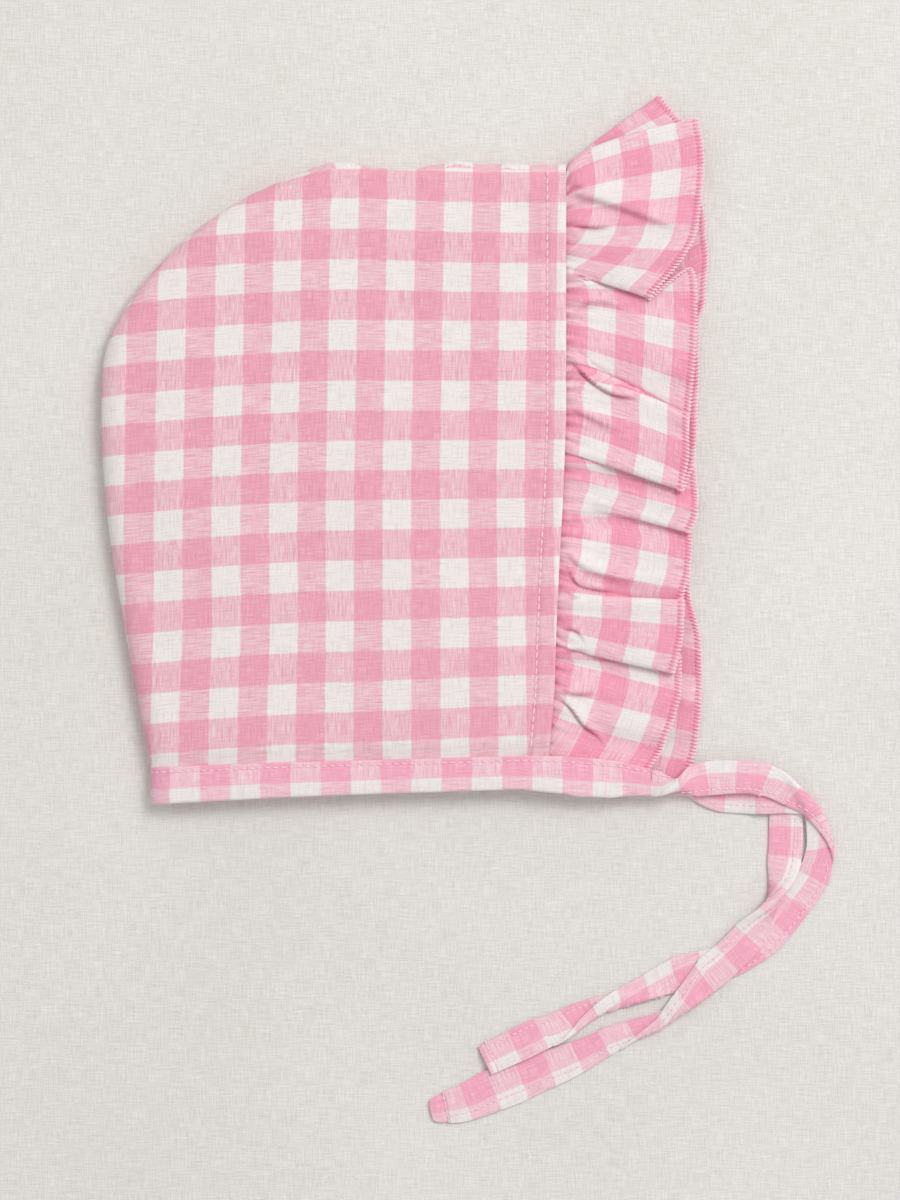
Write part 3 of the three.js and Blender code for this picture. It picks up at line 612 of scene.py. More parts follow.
def edge_yarn(name, dark, light):
    """Overlock thread: its tone is carried by the mesh."""
    s = Surface(name, roughness=0.75, sheen=0.2)
    parts = s.node("ShaderNodeSeparateXYZ")
    s.link(s.node("ShaderNodeAttribute", attribute_name="cloth").outputs["Vector"], parts.inputs[0])
    place = s.node("ShaderNodeTexCoord").outputs["Object"]
    change = s.math("MULTIPLY", s.math("SUBTRACT", s.noise(place, 1200.0, 2.0), 0.5), 0.5)
    s.colour(s.blend(s.math("ADD", parts.outputs[0], change, clamp=True), dark, light))
    s.bump(s.noise(place, 2600.0, 1.0), 0.00005, 0.6)
    return s.material


hood_cloth = gingham("hood_gingham", PANEL_CHECK_ALONG, PANEL_CHECK_UP, 10.9, -1.1,
                     WHITE_COTTON, PALE_PINK, FULL_PINK)
BAND_DARK_X = 77.6
BAND_PINK_MIDDLE = 2.0
band_cloth = gingham("band_gingham", CHECK + 0.2, CHECK, BAND_DARK_X, BAND_PINK_MIDDLE,
                     WHITE_COTTON, BAND_PALE, BAND_PINK)
ruffle_cloth = gingham("ruffle_gingham", CHECK, CHECK - 0.3, 0, 2.6,
                       WHITE_COTTON, RUFFLE_PALE, RUFFLE_PINK)
edge_thread = edge_yarn("edge_thread", linear(244, 156, 183), linear(255, 217, 228))
pale_thread = yarn("pale_thread", linear(250, 192, 208), linear(255, 232, 238))


# Where the checks run on the hood: they dip towards the back, lean a little, and lie by shift mm to the right
CHECK_SHIFTS = [
    dict(x=-66, shift=0.6),
    dict(x=-58, shift=1.05),
    dict(x=-40, shift=1.1),
    dict(x=-20, shift=1),
    dict(x=0, shift=0.55),
    dict(x=20, shift=0.2),
    dict(x=40, shift=0),
    dict(x=52, shift=-0.25),
    dict(x=62, shift=-0.5),
]


def hood_cloth_at(x, y):
    lean = np.where(y > 0, 1.4 * y / 85, 1.6 * y / 81 * (1 - np.clip((x + 55) / 75, 0, 1.5)))
    dip = 3.2 * np.clip((3.5 - x) / 56, 0, 2) ** 1.5
    tilt = 2.6 * np.clip((x - 3.5) / 61, 0, 1.2) * np.clip((26 - y) / 100, 0, 1)
    right = look_up(CHECK_SHIFTS, "x", x, "shift")
    right = right + 0.6 * np.exp(-((y + 45) / 18) ** 2) * smoothstep(-x, -10, 20)
    down = 0.85 * smoothstep(y, -35, 40) + 1.15 * smoothstep(x, 8, 45) * smoothstep(y, 42, 72)
    return np.stack([x - lean - right, y + dip - tilt + down, np.zeros_like(x)], axis=-1)


# Hood panels
def patch(u, v):
    """The flat part of a panel in plan, between the rolled seam, the neck edge and the face edge."""
    u, v = u[:, None], v[None, :]
    left_at = inside_seam(v[0] * CORNER_SHARE, SEAM_ROLL)[None]
    top_at = inside_seam(mix(CORNER_SHARE, 1, u[:, 0]), SEAM_ROLL)[:, None]
    low_left = inside_seam(0.0, SEAM_ROLL)
    top_left = inside_seam(CORNER_SHARE, SEAM_ROLL)
    top_right = inside_seam(1.0, SEAM_ROLL)
    low_right = np.array([face_edge_x(FACE_BOTTOM_Y), FACE_BOTTOM_Y])
    right_y = mix(low_right[1], top_right[1], v[0])
    right_at = np.stack([face_edge_x(right_y), right_y], axis=-1)[None]
    bottom_x = mix(low_left[0], low_right[0], u[:, 0])
    bottom_at = np.stack([bottom_x, neck_line(bottom_x) - BAND_LAP], axis=-1)[:, None]
    u, v = u[..., None], v[..., None]
    corners = mix(mix(low_left, low_right, u), mix(top_left, top_right, u), v)
    return mix(left_at, right_at, u) + mix(bottom_at, top_at, v) - corners


PANEL_COLUMNS = 130
PANEL_ROWS = 170
ROLL_STEPS = 16
BACK_CREASE = math.radians(10)
CROWN_CREASE = math.radians(53)
CREASE_DEPTH = 0.5
# How far the crown's outline dips in from the seam's line, in mm
CROWN_DIPS = [
    dict(x=-26, dip=0.2),
    dict(x=-12, dip=0.9),
    dict(x=-6, dip=0.7),
    dict(x=-1, dip=0.3),
    dict(x=4, dip=0.8),
    dict(x=9, dip=2.2),
    dict(x=14, dip=3),
    dict(x=20, dip=3.4),
    dict(x=26, dip=3.1),
    dict(x=31, dip=2.1),
    dict(x=37, dip=0.7),
    dict(x=40, dip=0.1),
    dict(x=46, dip=1.2),
    dict(x=50, dip=1),
    dict(x=56, dip=0.6),
    dict(x=64, dip=0.9),
    dict(x=74, dip=0.3),
]
STITCH_PITCH = 2.55
PUCKER = 4.7


SEAM_POINTS = seam_curve.at(np.linspace(0, 1, 240))


def upper_rise(x, y):
    """How high the upper panel stands above the seam's level: bulge, slow waves, stitched hem and puckers."""
    bulge = HOOD_BULGE * np.clip(1 - ((x + 2) / 72) ** 2, 0, 1) * np.clip(1 - ((y - 6) / 98) ** 2, 0, 1)
    relief = 0.16 * np.sin(x / 9.1 + y / 31) + 0.14 * np.sin(y / 12.7 - x / 40 + 1)
    relief += 0.1 * np.sin((x + y) / 8.3 + 2)
    relief -= 0.55 * np.exp(-((x - 60) / 5.5) ** 2 - ((y - 85) / 15) ** 2)
    relief += 0.35 * np.exp(-((x - 50) / 5) ** 2 - ((y - 82) / 16) ** 2)
    inward = face_edge_x(y) - x
    relief += 0.4 * (1 - smoothstep(inward, HEM_WIDTH - 1.2, HEM_WIDTH + 0.2))
    relief -= 0.12 * np.exp(-((inward - HEM_WIDTH) / 0.9) ** 2)
    relief -= 0.5 * (1 - smoothstep(inward, 0, 1.2))
    relief += 0.16 * np.exp(-((inward - 7.8) / 0.9) ** 2) - 0.2 * np.exp(-((inward - 10.4) / 1.7) ** 2)
    pucker = np.sin(2 * math.pi * y / PUCKER + 1.3 * np.sin(y / 17))
    relief += 0.12 * pucker * np.exp(-((inward - HEM_WIDTH) / 4) ** 2)
    neck_pucker = np.sin(2 * math.pi * x / 6.1 + 1.1 * np.sin(x / 13))
    relief += 0.1 * neck_pucker * np.exp(-((y - neck_line(x)) / 6) ** 2)
    flat = np.stack([np.ravel(x), np.ravel(y)], axis=-1)
    near = np.min(np.linalg.norm(flat[:, None] - SEAM_POINTS[None], axis=2), axis=1).reshape(np.shape(x))
    return (bulge + relief) * smoothstep(near, SEAM_ROLL, SEAM_ROLL + 12) - neck_inset(x, y)


def crown_dip(x, share):
    """The crown's uneven outline, with a few fine puckers."""
    fine = 0.14 * np.sin(2 * math.pi * x / 6.3 + 1.4 * np.sin(x / 9))
    dip = SmoothCurve([(row["x"], row["dip"]) for row in CROWN_DIPS]).points
    return (np.interp(x, dip[:, 0], dip[:, 1]) + fine) * smoothstep(share, 0.5, 0.66)


def build_panel(side, name):
    u = np.linspace(0, 1, PANEL_COLUMNS)
    u = np.unique(np.concatenate([u, 1 - np.linspace(0, 8, 17) / HOOD_DEPTH]))
    v = np.linspace(0, 1, PANEL_ROWS)
    plan = patch(u, v)
    x, y = plan[..., 0], plan[..., 1]
    high = SEAM_LEVEL - GAP / 2
    edge_share = np.concatenate([v * CORNER_SHARE, mix(CORNER_SHARE, 1, u[1:])])
    edge_vertex = np.concatenate([np.arange(len(v)), (np.arange(1, len(u)) + 1) * len(v) - 1])
    rise = high + (upper_rise(x, y) if side > 0 else -neck_inset(x, y))
    points = [np.stack([x, y, SEAM_LEVEL + side * rise], axis=-1).reshape(-1, 3)]
    faces = [grid_faces(len(u), len(v))]
    before = edge_vertex
    count = len(points[0])
    # The upper panel rolls down to the seam's crease, the lower one comes round the outline up to it
    crease = side * mix(BACK_CREASE, CROWN_CREASE, smoothstep(edge_share, 0.67, 0.76))
    inward = seam_inward(edge_share)
    seam = seam_curve.at(edge_share)
    dips = crown_dip(seam[:, 0], edge_share)
    cloth = [hood_cloth_at(x, y).reshape(-1, 3)]
    last_ring = points[0][edge_vertex]
    rolled = np.zeros(len(edge_share))
    rolls = [(turned, 0) for turned in np.linspace(0, 1, ROLL_STEPS + 1)[1:]] + [(1, 1)]
    for turned, tuck in rolls:
        angle = mix(math.pi / 2, crease, turned)
        near = smoothstep(np.cos(angle), 0.3, 1)
        distance = SEAM_ROLL * (1 - np.cos(angle)) + dips * near - 0.25 * side * tuck
        place = seam + inward * distance[:, None]
        inset = neck_inset(place[:, 0], place[:, 1])
        z = SEAM_LEVEL + side * (high - inset) * np.sin(angle) - tuck * CREASE_DEPTH
        points.append(np.column_stack([place, z]))
        # The checks go on round the edge by the cloth's own length
        rolled += np.linalg.norm(points[-1] - last_ring, axis=1)
        last_ring = points[-1]
        spread = seam + inward * (SEAM_ROLL - rolled)[:, None]
        cloth.append(hood_cloth_at(spread[:, 0], spread[:, 1]))
        ring = count + np.arange(len(edge_share))
        faces.append(np.stack([before[:-1], before[1:], ring[1:], ring[:-1]], axis=1))
        before = ring
        count += len(edge_share)
    points = np.vstack(points)
    faces = np.vstack(faces)
    if side < 0:
        faces = faces[:, ::-1]
    return make_shell(name, points, faces, np.vstack(cloth), hood_cloth)


# Ruffle
def ruffle_root(side, share):
    round_y = SEAM_ROLL - TUCK_DEPTH
    round_z = SEAM_LEVEL - TUCK_DEPTH
    round_length = math.pi / 4 * (round_y + round_z)
    straight_top = FACE_TOP_Y - SEAM_ROLL
    length = share * (round_length + straight_top - FACE_BOTTOM_Y)
    if length < round_length:
        angle = math.pi / 2 * length / round_length
        return FACE_X, straight_top + round_y * math.cos(angle), SEAM_LEVEL + side * round_z * math.sin(angle)
    y = straight_top - (length - round_length)
    x = float(face_edge_x(y))
    return x, y, SEAM_LEVEL + side * (round_z - float(neck_inset(x, y)))


TURN = LAYER_PITCH / 2 / FACE_LENGTH
VALLEY = 0.25
LOWER_BEND = 1.5


def rib(side, root, fan, reach, layer, bend, pleat=None):
    """A line from root to hem: its hem, its root, how it bends, and the pleat whose checks it carries."""
    level = UPPER_LEVEL + layer * LAYER_PITCH if side > 0 else LOWER_LEVEL + layer * WAVE_HEIGHT
    hem = (FACE_X + reach * RUFFLE_REACH, FACE_TOP_Y - fan * FACE_LENGTH, level)
    return (*hem, *ruffle_root(side, root), bend * 10), pleat


def pleat_ribs(side, pleat, root_before, root_after):
    head, tail = pleat.get("head", 0), pleat.get("tail", 0)
    crest = 2 if head + tail > 0 else 1
    first_bend, last_bend = pleat.get("bend", (LOWER_BEND, LOWER_BEND))
    reach = pleat["reach"]
    fan_start, fan_end = pleat["fan_start"], pleat["fan_end"]
    ribs = []
    if head:
        inner = fan_start + head
        fold = [(inner - TURN, 0), (inner, 0.5), (mix(inner, fan_start, 0.5), 1), (fan_start, 1.5)]
        for i, (fan, layer) in enumerate(fold):
            root = mix(root_before, pleat["start"], (i + 1) / (len(fold) + 1))
            ribs.append(rib(side, root, fan, reach[0], layer, first_bend))
        ribs.append(rib(side, pleat["start"], fan_start + TURN, reach[0], crest, first_bend, pleat))
    else:
        ribs.append(rib(side, pleat["start"], fan_start, reach[0], VALLEY, first_bend, pleat))
    for i in range(1, len(reach) if len(reach) > 3 else 4):
        share = i / (len(reach) if len(reach) > 3 else 4)
        out = np.interp(share, np.linspace(0, 1, len(reach)), reach)
        root = mix(pleat["start"], pleat["end"], share)
        fan = mix(fan_start, fan_end, share)
        ribs.append(rib(side, root, fan, out, crest, mix(first_bend, last_bend, share), pleat))
    if tail:
        inner = fan_end - tail
        under = pleat.get("under", reach[-1])
        ribs.append(rib(side, pleat["end"], fan_end - TURN, reach[-1], crest, last_bend, pleat))
        fold = [(fan_end, 1.5, 0), (mix(inner, fan_end, 0.5), 1, 0.4), (inner, 0.5, 0.9), (inner + TURN, 0, 1)]
        for i, (fan, layer, share) in enumerate(fold):
            root = mix(pleat["end"], root_after, (i + 1) / (len(fold) + 1))
            ribs.append(rib(side, root, fan, mix(reach[-1], under, share), layer, last_bend))
    else:
        ribs.append(rib(side, pleat["end"], fan_end, reach[-1], VALLEY, last_bend, pleat))
    return ribs


def band_top(x):
    return HOOD_THICKNESS - BAND_DROP * smoothstep(x, float(face_edge_x(NECK_Y)), FACE_X + UPPER_BAND_REACH)


def end_rib(side, reach):
    x = FACE_X + reach
    under_lip = BAND_LIP + GAP + 0.3
    level = band_top(x) - under_lip if side > 0 else under_lip
    return (x, float(neck_line(x)) - BAND_LAP, level, *ruffle_root(side, 1), 10), None


def half_ruffle(side, pleats, reach):
    ribs = []
    for i, pleat in enumerate(pleats):
        root_before = pleats[i - 1]["end"] if i else BACK_LAYER["root"]
        root_after = pleats[i + 1]["start"] if i + 1 < len(pleats) else 1
        ribs += pleat_ribs(side, pleat, root_before, root_after)
    return ribs + [end_rib(side, reach)]


def ruffle_ribs():
    fold = CROWN_FOLD
    crown = [
        rib(1, -fold["root"], fold["fan"] + TURN, fold["reach"], -1, fold["bend"]),
        rib(1, 0, fold["fan"], fold["reach"], -0.5, fold["bend"]),
        rib(1, fold["root"], fold["fan"] + TURN, fold["reach"], 0, fold["bend"]),
    ]
    back = rib(1, BACK_LAYER["root"], BACK_LAYER["fan"], BACK_LAYER["reach"], 0, BACK_LAYER["bend"])
    lower = half_ruffle(-1, LOWER_PLEATS, LOWER_BAND_REACH - RUFFLE_SHORT)
    upper = half_ruffle(1, UPPER_PLEATS, UPPER_BAND_REACH - RUFFLE_SHORT)
    return lower[::-1] + crown + [back] + upper, len(lower) + 2


def check_places(ribs):
    """Where each rib lies along the cloth, so that a pink check meets the hem where its pleat says."""
    hems = np.array([values[:3] for values, _ in ribs])
    along = np.concatenate([[0], np.cumsum(np.linalg.norm(np.diff(hems, axis=0), axis=1))])
    anchors, last = [], None
    fans = (FACE_TOP_Y - hems[:, 1]) / FACE_LENGTH
    for pleat in [p for p in (*LOWER_PLEATS[::-1], *UPPER_PLEATS) if "pink" in p]:
        own = [i for i, (_, p) in enumerate(ribs) if p is pleat]
        order = sorted(own, key=lambda i: fans[i])
        pink = np.interp(pleat["pink"], fans[order], along[order])
        base = 0 if last is None else last[1] + CHECK * round((pink - last[0]) / CHECK)
        last = (pink, base)
        anchors += [(along[i], base + along[i] - pink) for i in own]
    first, end = anchors[0], anchors[-1]
    anchors = [(0, first[1] - first[0])] + anchors + [(along[-1], end[1] + along[-1] - end[0])]
    return np.interp(along, *np.array(anchors).T)


SHADE_FOLD_WIDTH = 0.42


def crease_relief(x, y):
    """The small folds near the gathering: the height they add, and the painted shade that darkens the cloth just under
    each fold.
    """
    relief, depth = np.zeros_like(x), np.zeros_like(x)
    for crease in CREASES:
        line = [(FACE_X + out * RUFFLE_REACH, FACE_TOP_Y - down * FACE_LENGTH) for out, down in crease["line"]]
        path = SmoothCurve(line)
        xs, ys = path.points[:, 0], path.points[:, 1]
        above = y - np.interp(x, xs, ys)
        share = (x - xs[0]) / (xs[-1] - xs[0])
        fade = np.clip(share * 8 + 1, 0, 1) * (1 - smoothstep(share, 0.55, 1.0))
        shape = np.where(above > 0, np.exp(-(above / crease["above"]) ** 2), np.exp(-(above / crease["below"]) ** 2))
        relief += crease["height"] * shape * fade
        # Painted shade under each fold: full for narrow folds, weaker for wide ones
        under = np.exp(-((above + 1.6 * crease["below"]) / (crease["below"] + 0.35)) ** 2)
        fold_shade_strength = min(max(crease["height"], 0), 1) * min(SHADE_FOLD_WIDTH / crease["below"], 1)
        depth = np.maximum(depth, under * fade * fold_shade_strength)
    return relief, depth


RUFFLE_COLUMN = 0.85
RUFFLE_ROWS = 45
GATHER = 4.3


def build_ruffle():
    ribs, crown_index = ruffle_ribs()
    curve = SmoothCurve([(*values, check) for (values, _), check in zip(ribs, check_places(ribs))])
    columns = int(curve.length / RUFFLE_COLUMN)
    fine = curve.at(np.linspace(0, 1, columns))
    hem, root, bend = fine[:, None, 0:3], fine[:, None, 3:6], fine[:, None, 6] / 10
    w = np.linspace(0, 1, RUFFLE_ROWS)[None, :]
    x = mix(root[..., 0], hem[..., 0], w)
    y = mix(root[..., 1], hem[..., 1], w ** np.maximum(bend, 0.3))
    z = mix(root[..., 2], hem[..., 2], smoothstep(w, 0, 0.36))
    root_steps = np.linalg.norm(np.diff(root[:, 0], axis=0), axis=1)
    root_along = np.concatenate([[0], np.cumsum(root_steps)])[:, None]
    hem_steps = np.linalg.norm(np.diff(hem[:, 0], axis=0), axis=1)
    hem_along = np.concatenate([[0], np.cumsum(hem_steps)])[:, None]
    # The upper half starts where the crown's fold turns
    crown_at = int(np.argmin(np.linalg.norm(fine[:, :3] - np.array(ribs[crown_index][0][:3]), axis=1)))
    upper = (np.arange(columns) >= crown_at)[:, None]
    gathers = np.sin(2 * math.pi * root_along / GATHER + 1.7 * np.sin(root_along / 6.1))
    gathers += 0.5 * np.sin(2 * math.pi * root_along / 2.6 + np.sin(root_along / 4))
    small = 0.42 * gathers * np.exp(-w / 0.13)
    ends = np.minimum(hem_along, hem_along[-1] - hem_along)
    z = z + small * smoothstep(ends, 0, 12)
    waves = 0.22 * np.sin(2 * math.pi * hem_along / 13 + 1.3 * np.sin(hem_along / 23)) * w
    z = z + waves * np.where(upper, 1, 0.4) * smoothstep(ends, 0, 12)
    clear = smoothstep(x - face_edge_x(y), 0, 6)
    # The creases give height and painted shade under each fold, on the upper half only
    relief, depth = crease_relief(x, y)
    z = z + np.where(upper, relief, 0) * clear * smoothstep(ends, 0, 6)
    depth = np.where(upper, depth, 0) * clear
    # Painted shade in the gathers' hollows near the root, and a thin painted shadow along the root itself
    painted_gather_shade = 0.4 * np.clip(-gathers, 0, 1) * np.exp(-w / 0.1)
    depth = np.maximum(depth, painted_gather_shade + 0.3 * np.exp(-w / 0.03))
    z = np.maximum(z, CLOTH / 2 + 0.05)
    middle = np.stack([x, y, z], axis=-1)
    tucked = middle[:, :1].copy()
    tucked[..., 0] -= RUFFLE_TUCK
    middle = np.concatenate([tucked, middle], axis=1)
    rows = RUFFLE_ROWS + 1
    flat = middle.reshape(-1, 3)
    faces = grid_faces(columns, rows)
    normals = vertex_normals(flat, faces)
    steps = np.linalg.norm(np.diff(middle, axis=1), axis=2)
    from_hem = np.concatenate([np.cumsum(steps[:, ::-1], axis=1)[:, ::-1], np.zeros((columns, 1))], axis=1)
    checks = np.broadcast_to(fine[:, 7:8], from_hem.shape)
    depth = np.concatenate([depth[:, :1], depth], axis=1)
    # The cloth's places: the checks, the distance from the hem, and the painted shade
    cloth = np.stack([checks, from_hem, depth], axis=-1)
    outer = flat + normals * CLOTH / 2
    made = make_shell("gathered_ruffle", outer, faces, cloth.reshape(-1, 3), ruffle_cloth)
    hem_normals = normals.reshape(columns, rows, 3)[:, -1]
    outward = unit(middle[:, -1] - middle[:, -3])
    return made, middle[:, -1], hem_normals, outward


OVERLOCK_PITCH = 1.2
OVERLOCK_WIDTH = 2.2
OVERLOCK_RADIUS = 0.3
LOOP_STEPS = 12


def build_overlock(name, edge, normals, outward):
    """The pink thread that is looped round the ruffle's hem."""
    steps = np.linalg.norm(np.diff(edge, axis=0), axis=1)
    along = np.concatenate([[0], np.cumsum(steps)])
    count = int(along[-1] / OVERLOCK_PITCH) * LOOP_STEPS
    at = np.linspace(0, along[-1], count)

    def take(values):
        return np.stack([np.interp(at, along, values[:, k]) for k in range(3)], axis=-1)

    place, up, out = take(edge), unit(take(normals)), unit(take(outward))
    turn = at / OVERLOCK_PITCH * 2 * math.pi
    middle = place - out * (OVERLOCK_WIDTH / 2 - 0.25)
    path = middle + out * (np.cos(turn) * OVERLOCK_WIDTH / 2)[:, None]
    path = path + up * (np.sin(turn) * (CLOTH / 2 + OVERLOCK_RADIUS * 0.8))[:, None]
    path[:, 2] = np.maximum(path[:, 2], OVERLOCK_RADIUS + 0.02)
    return make_thread(name, path, OVERLOCK_RADIUS, edge_thread, 5, smoothstep(np.cos(turn), -0.6, 0.75))


# Neck band
BAND_STATION = 1.0


def band_places():
    nape = across_x(SEAM_LINE[0]["across"])
    straight = nape + SEAM_ROLL
    upper_end = FACE_X + UPPER_BAND_REACH
    lower_end = FACE_X + LOWER_BAND_REACH
    places = []
    for x in np.linspace(upper_end, straight, int((upper_end - straight) / BAND_STATION)):
        places.append((x, float(band_top(x)), 0.0, 1.0))
    for angle in np.linspace(math.pi / 2, -math.pi / 2, 25)[1:-1]:
        out = unit(np.array([-math.cos(angle) / SEAM_ROLL, math.sin(angle) / SEAM_LEVEL]))
        places.append((straight - SEAM_ROLL * math.cos(angle), SEAM_LEVEL * (1 + math.sin(angle)), *out))
    for x in np.linspace(straight, lower_end, int((lower_end - straight) / BAND_STATION)):
        places.append((x, 0.0, 0.0, -1.0))
    return np.array(places)


def band_profile():
    """The band's section, anticlockwise from its lower fold: across is a share of its width, deep in mm."""
    rows = [(0.0, 1.1)]
    for angle in np.linspace(0, math.pi / 2, 5)[1:]:
        rows.append((0.09 * (1 - math.cos(angle)), 1.1 - 1.0 * math.sin(angle)))
    rows += [(0.2, 0.02), (0.35, -0.05), (0.5, -0.06), (0.65, -0.04), (0.76, 0.02)]
    rows += [(0.82, 0.1), (0.85, 0.26), (0.88, 0.12), (0.93, 0.04), (0.975, 0.16), (1.0, 0.48)]
    rows += [(0.99, 0.8), (0.95, BAND_LIP), (0.85, BAND_LIP), (0.81, BAND_LIP), (0.8, 1.3), (0.79, BAND_THICKNESS)]
    rows += [(0.6, BAND_THICKNESS), (0.4, BAND_THICKNESS), (0.2, BAND_THICKNESS), (0.08, 2.05), (0.02, 1.6)]
    return rows


def band_place(x, across, deep, level, out_x, out_z, along):
    """A point of the band: across from its lower edge as a share of its width."""
    width = BAND_WIDTH * float(look_up(BAND_WIDTHS, "across", (x - BACK_X) / HOOD_DEPTH, "width"))
    pucker = 0.1 * math.sin(2 * math.pi * along / 5.3 + 1.2 * math.sin(along / 17)) * (1 if across > 0.6 else 0.4)
    deep = deep + pucker * (1 if deep < 0.6 else 0)
    y = float(neck_line(x)) + width * (across - 1)
    return (x - out_x * deep, y, level - out_z * deep)


def build_band():
    places = band_places()
    steps = np.hypot(np.diff(places[:, 0]), np.diff(places[:, 1]))
    along = np.concatenate([[0], np.cumsum(steps)])
    profile = band_profile()
    sections, cloth = [], []
    for (x, level, out_x, out_z), s in zip(places, along):
        sections.append([band_place(x, a, d, level, out_x, out_z, s) for a, d in profile])
        # The checks run with the place along the hood on the upper side
        station = places[0, 0] - s
        cloth.append([(station, (1 - a) * BAND_WIDTH + max(d - 1.1, 0), 0) for a, d in profile])
    sections = np.array(sections)
    return make_sweep("folded_neck_band", sections, np.array(cloth), band_cloth), places, along


# Ties
TIE_STATION = 0.7
TIE_SIDES = 52
CORNER_RUN = 14


def left_of(heading):
    return np.stack([-heading[..., 1], heading[..., 0]], axis=-1)


class Tie:
    """A folded strip of cloth that lies along a route and turns over on its way."""

    def __init__(self, legs, turns, profile):
        self.legs = [SmoothCurve(leg) for leg in legs]
        self.starts = np.concatenate([[0], np.cumsum([leg.length for leg in self.legs])])
        self.turns, self.profile = turns, profile
        self.length = float(self.starts[-1])

    def along_leg(self, index, distance):
        leg = self.legs[index]
        share = min(max(distance / leg.length, 0), 1)
        heading = leg.tangent(share)
        return leg.at(share) + heading * (distance - share * leg.length), heading

    def surface(self, s, across, high):
        """Points of the strip s mm along it: across from its middle, high above it towards its first face."""
        lift, slope, width = (float(look_up(self.profile, "at", s, key)) for key in ("lift", "slope", "width"))
        wide = TIE_WIDTH * width
        c = across * width
        facing = np.ones_like(c)
        leg = np.zeros(len(c), int)
        active = None
        for turn in self.turns:
            if turn["kind"] == "corner":
                corner = self.starts[1]
                before, after = self.along_leg(0, corner)[1], self.along_leg(1, 0.0)[1]
                crease = unit(before + after)
                rate = np.cross(crease, left_of(before)) / np.cross(crease, before)
                passed = s > corner - facing * c * rate
                leg = leg + passed
                facing = np.where(passed, -facing, facing)
            elif s >= turn["end"]:
                facing = -facing
            elif s > turn["start"]:
                active = (turn, (s - turn["start"]) / (turn["end"] - turn["start"]))
        side_way, rise = facing * c, np.zeros_like(c)
        normal_side, normal_up = np.zeros_like(c), facing.astype(float)
        thick = np.ones_like(c)
        if active and active[0]["kind"] == "roll":
            angle = math.pi * active[1] * active[0]["side"]
            edge = abs(math.sin(angle))
            rise = facing * c * math.sin(angle) * TWIST_HEIGHT + wide / 2 * edge * TWIST_HEIGHT
            side_way = facing * c * math.cos(angle)
            normal_side, normal_up = -facing * math.sin(angle), facing * math.cos(angle)
            thick = thick * mix(1, NECK_THICKNESS / TIE_THICKNESS, edge ** 3)
        elif active:
            turn, share = active
            side = turn["side"]
            gone = wide * share
            past = wide / 2 - gone - side * facing * c
            bend = np.tanh(past / 0.7)
            reach = np.sqrt(past ** 2 + CREASE_RADIUS ** 2) - CREASE_RADIUS
            side_way = side * (wide / 2 - reach)
            lap = smoothstep(gone + 1.5 - np.abs(past), 0, 3) * min(gone / 2, 1)
            rise = (TIE_THICKNESS + 0.25) * lap * (bend + 1) / 2
            normal_side = facing * side * np.sqrt(1 - bend ** 2)
            normal_up = facing * bend
        if len(self.legs) > 1:
            run = smoothstep(s, self.starts[1] - CORNER_RUN, self.starts[1] - CORNER_RUN / 2)
            rise = rise + np.where(leg == 0, (TIE_THICKNESS + 0.3) * run, 0)
        points = np.zeros((len(c), 3))
        normals = np.zeros((len(c), 3))
        for index in set(leg.tolist()):
            here = leg == index
            place, heading = self.along_leg(index, s - self.starts[index])
            left = left_of(heading)
            points[here, :2] = place + side_way[here, None] * left
            normals[here, :2] = normal_side[here, None] * left
        points[:, 2] = lift + TIE_THICKNESS / 2 + rise + slope * side_way
        normals[:, 2] = normal_up
        return points + normals * (high * thick)[:, None], normals


def tie_profile():
    """A flat, softly rounded section: side from -1 to 1 across, high from -1 to 1 through."""
    angles = np.linspace(0, 2 * math.pi, TIE_SIDES, endpoint=False)
    side = np.sign(np.cos(angles)) * np.abs(np.cos(angles)) ** 0.7
    high = np.sign(np.sin(angles)) * np.abs(np.sin(angles)) ** 0.6
    return side, high


TIE_STITCH_PITCH = 2.05
STITCH_CLEAR = 0.25
TIP_JUMP = 12


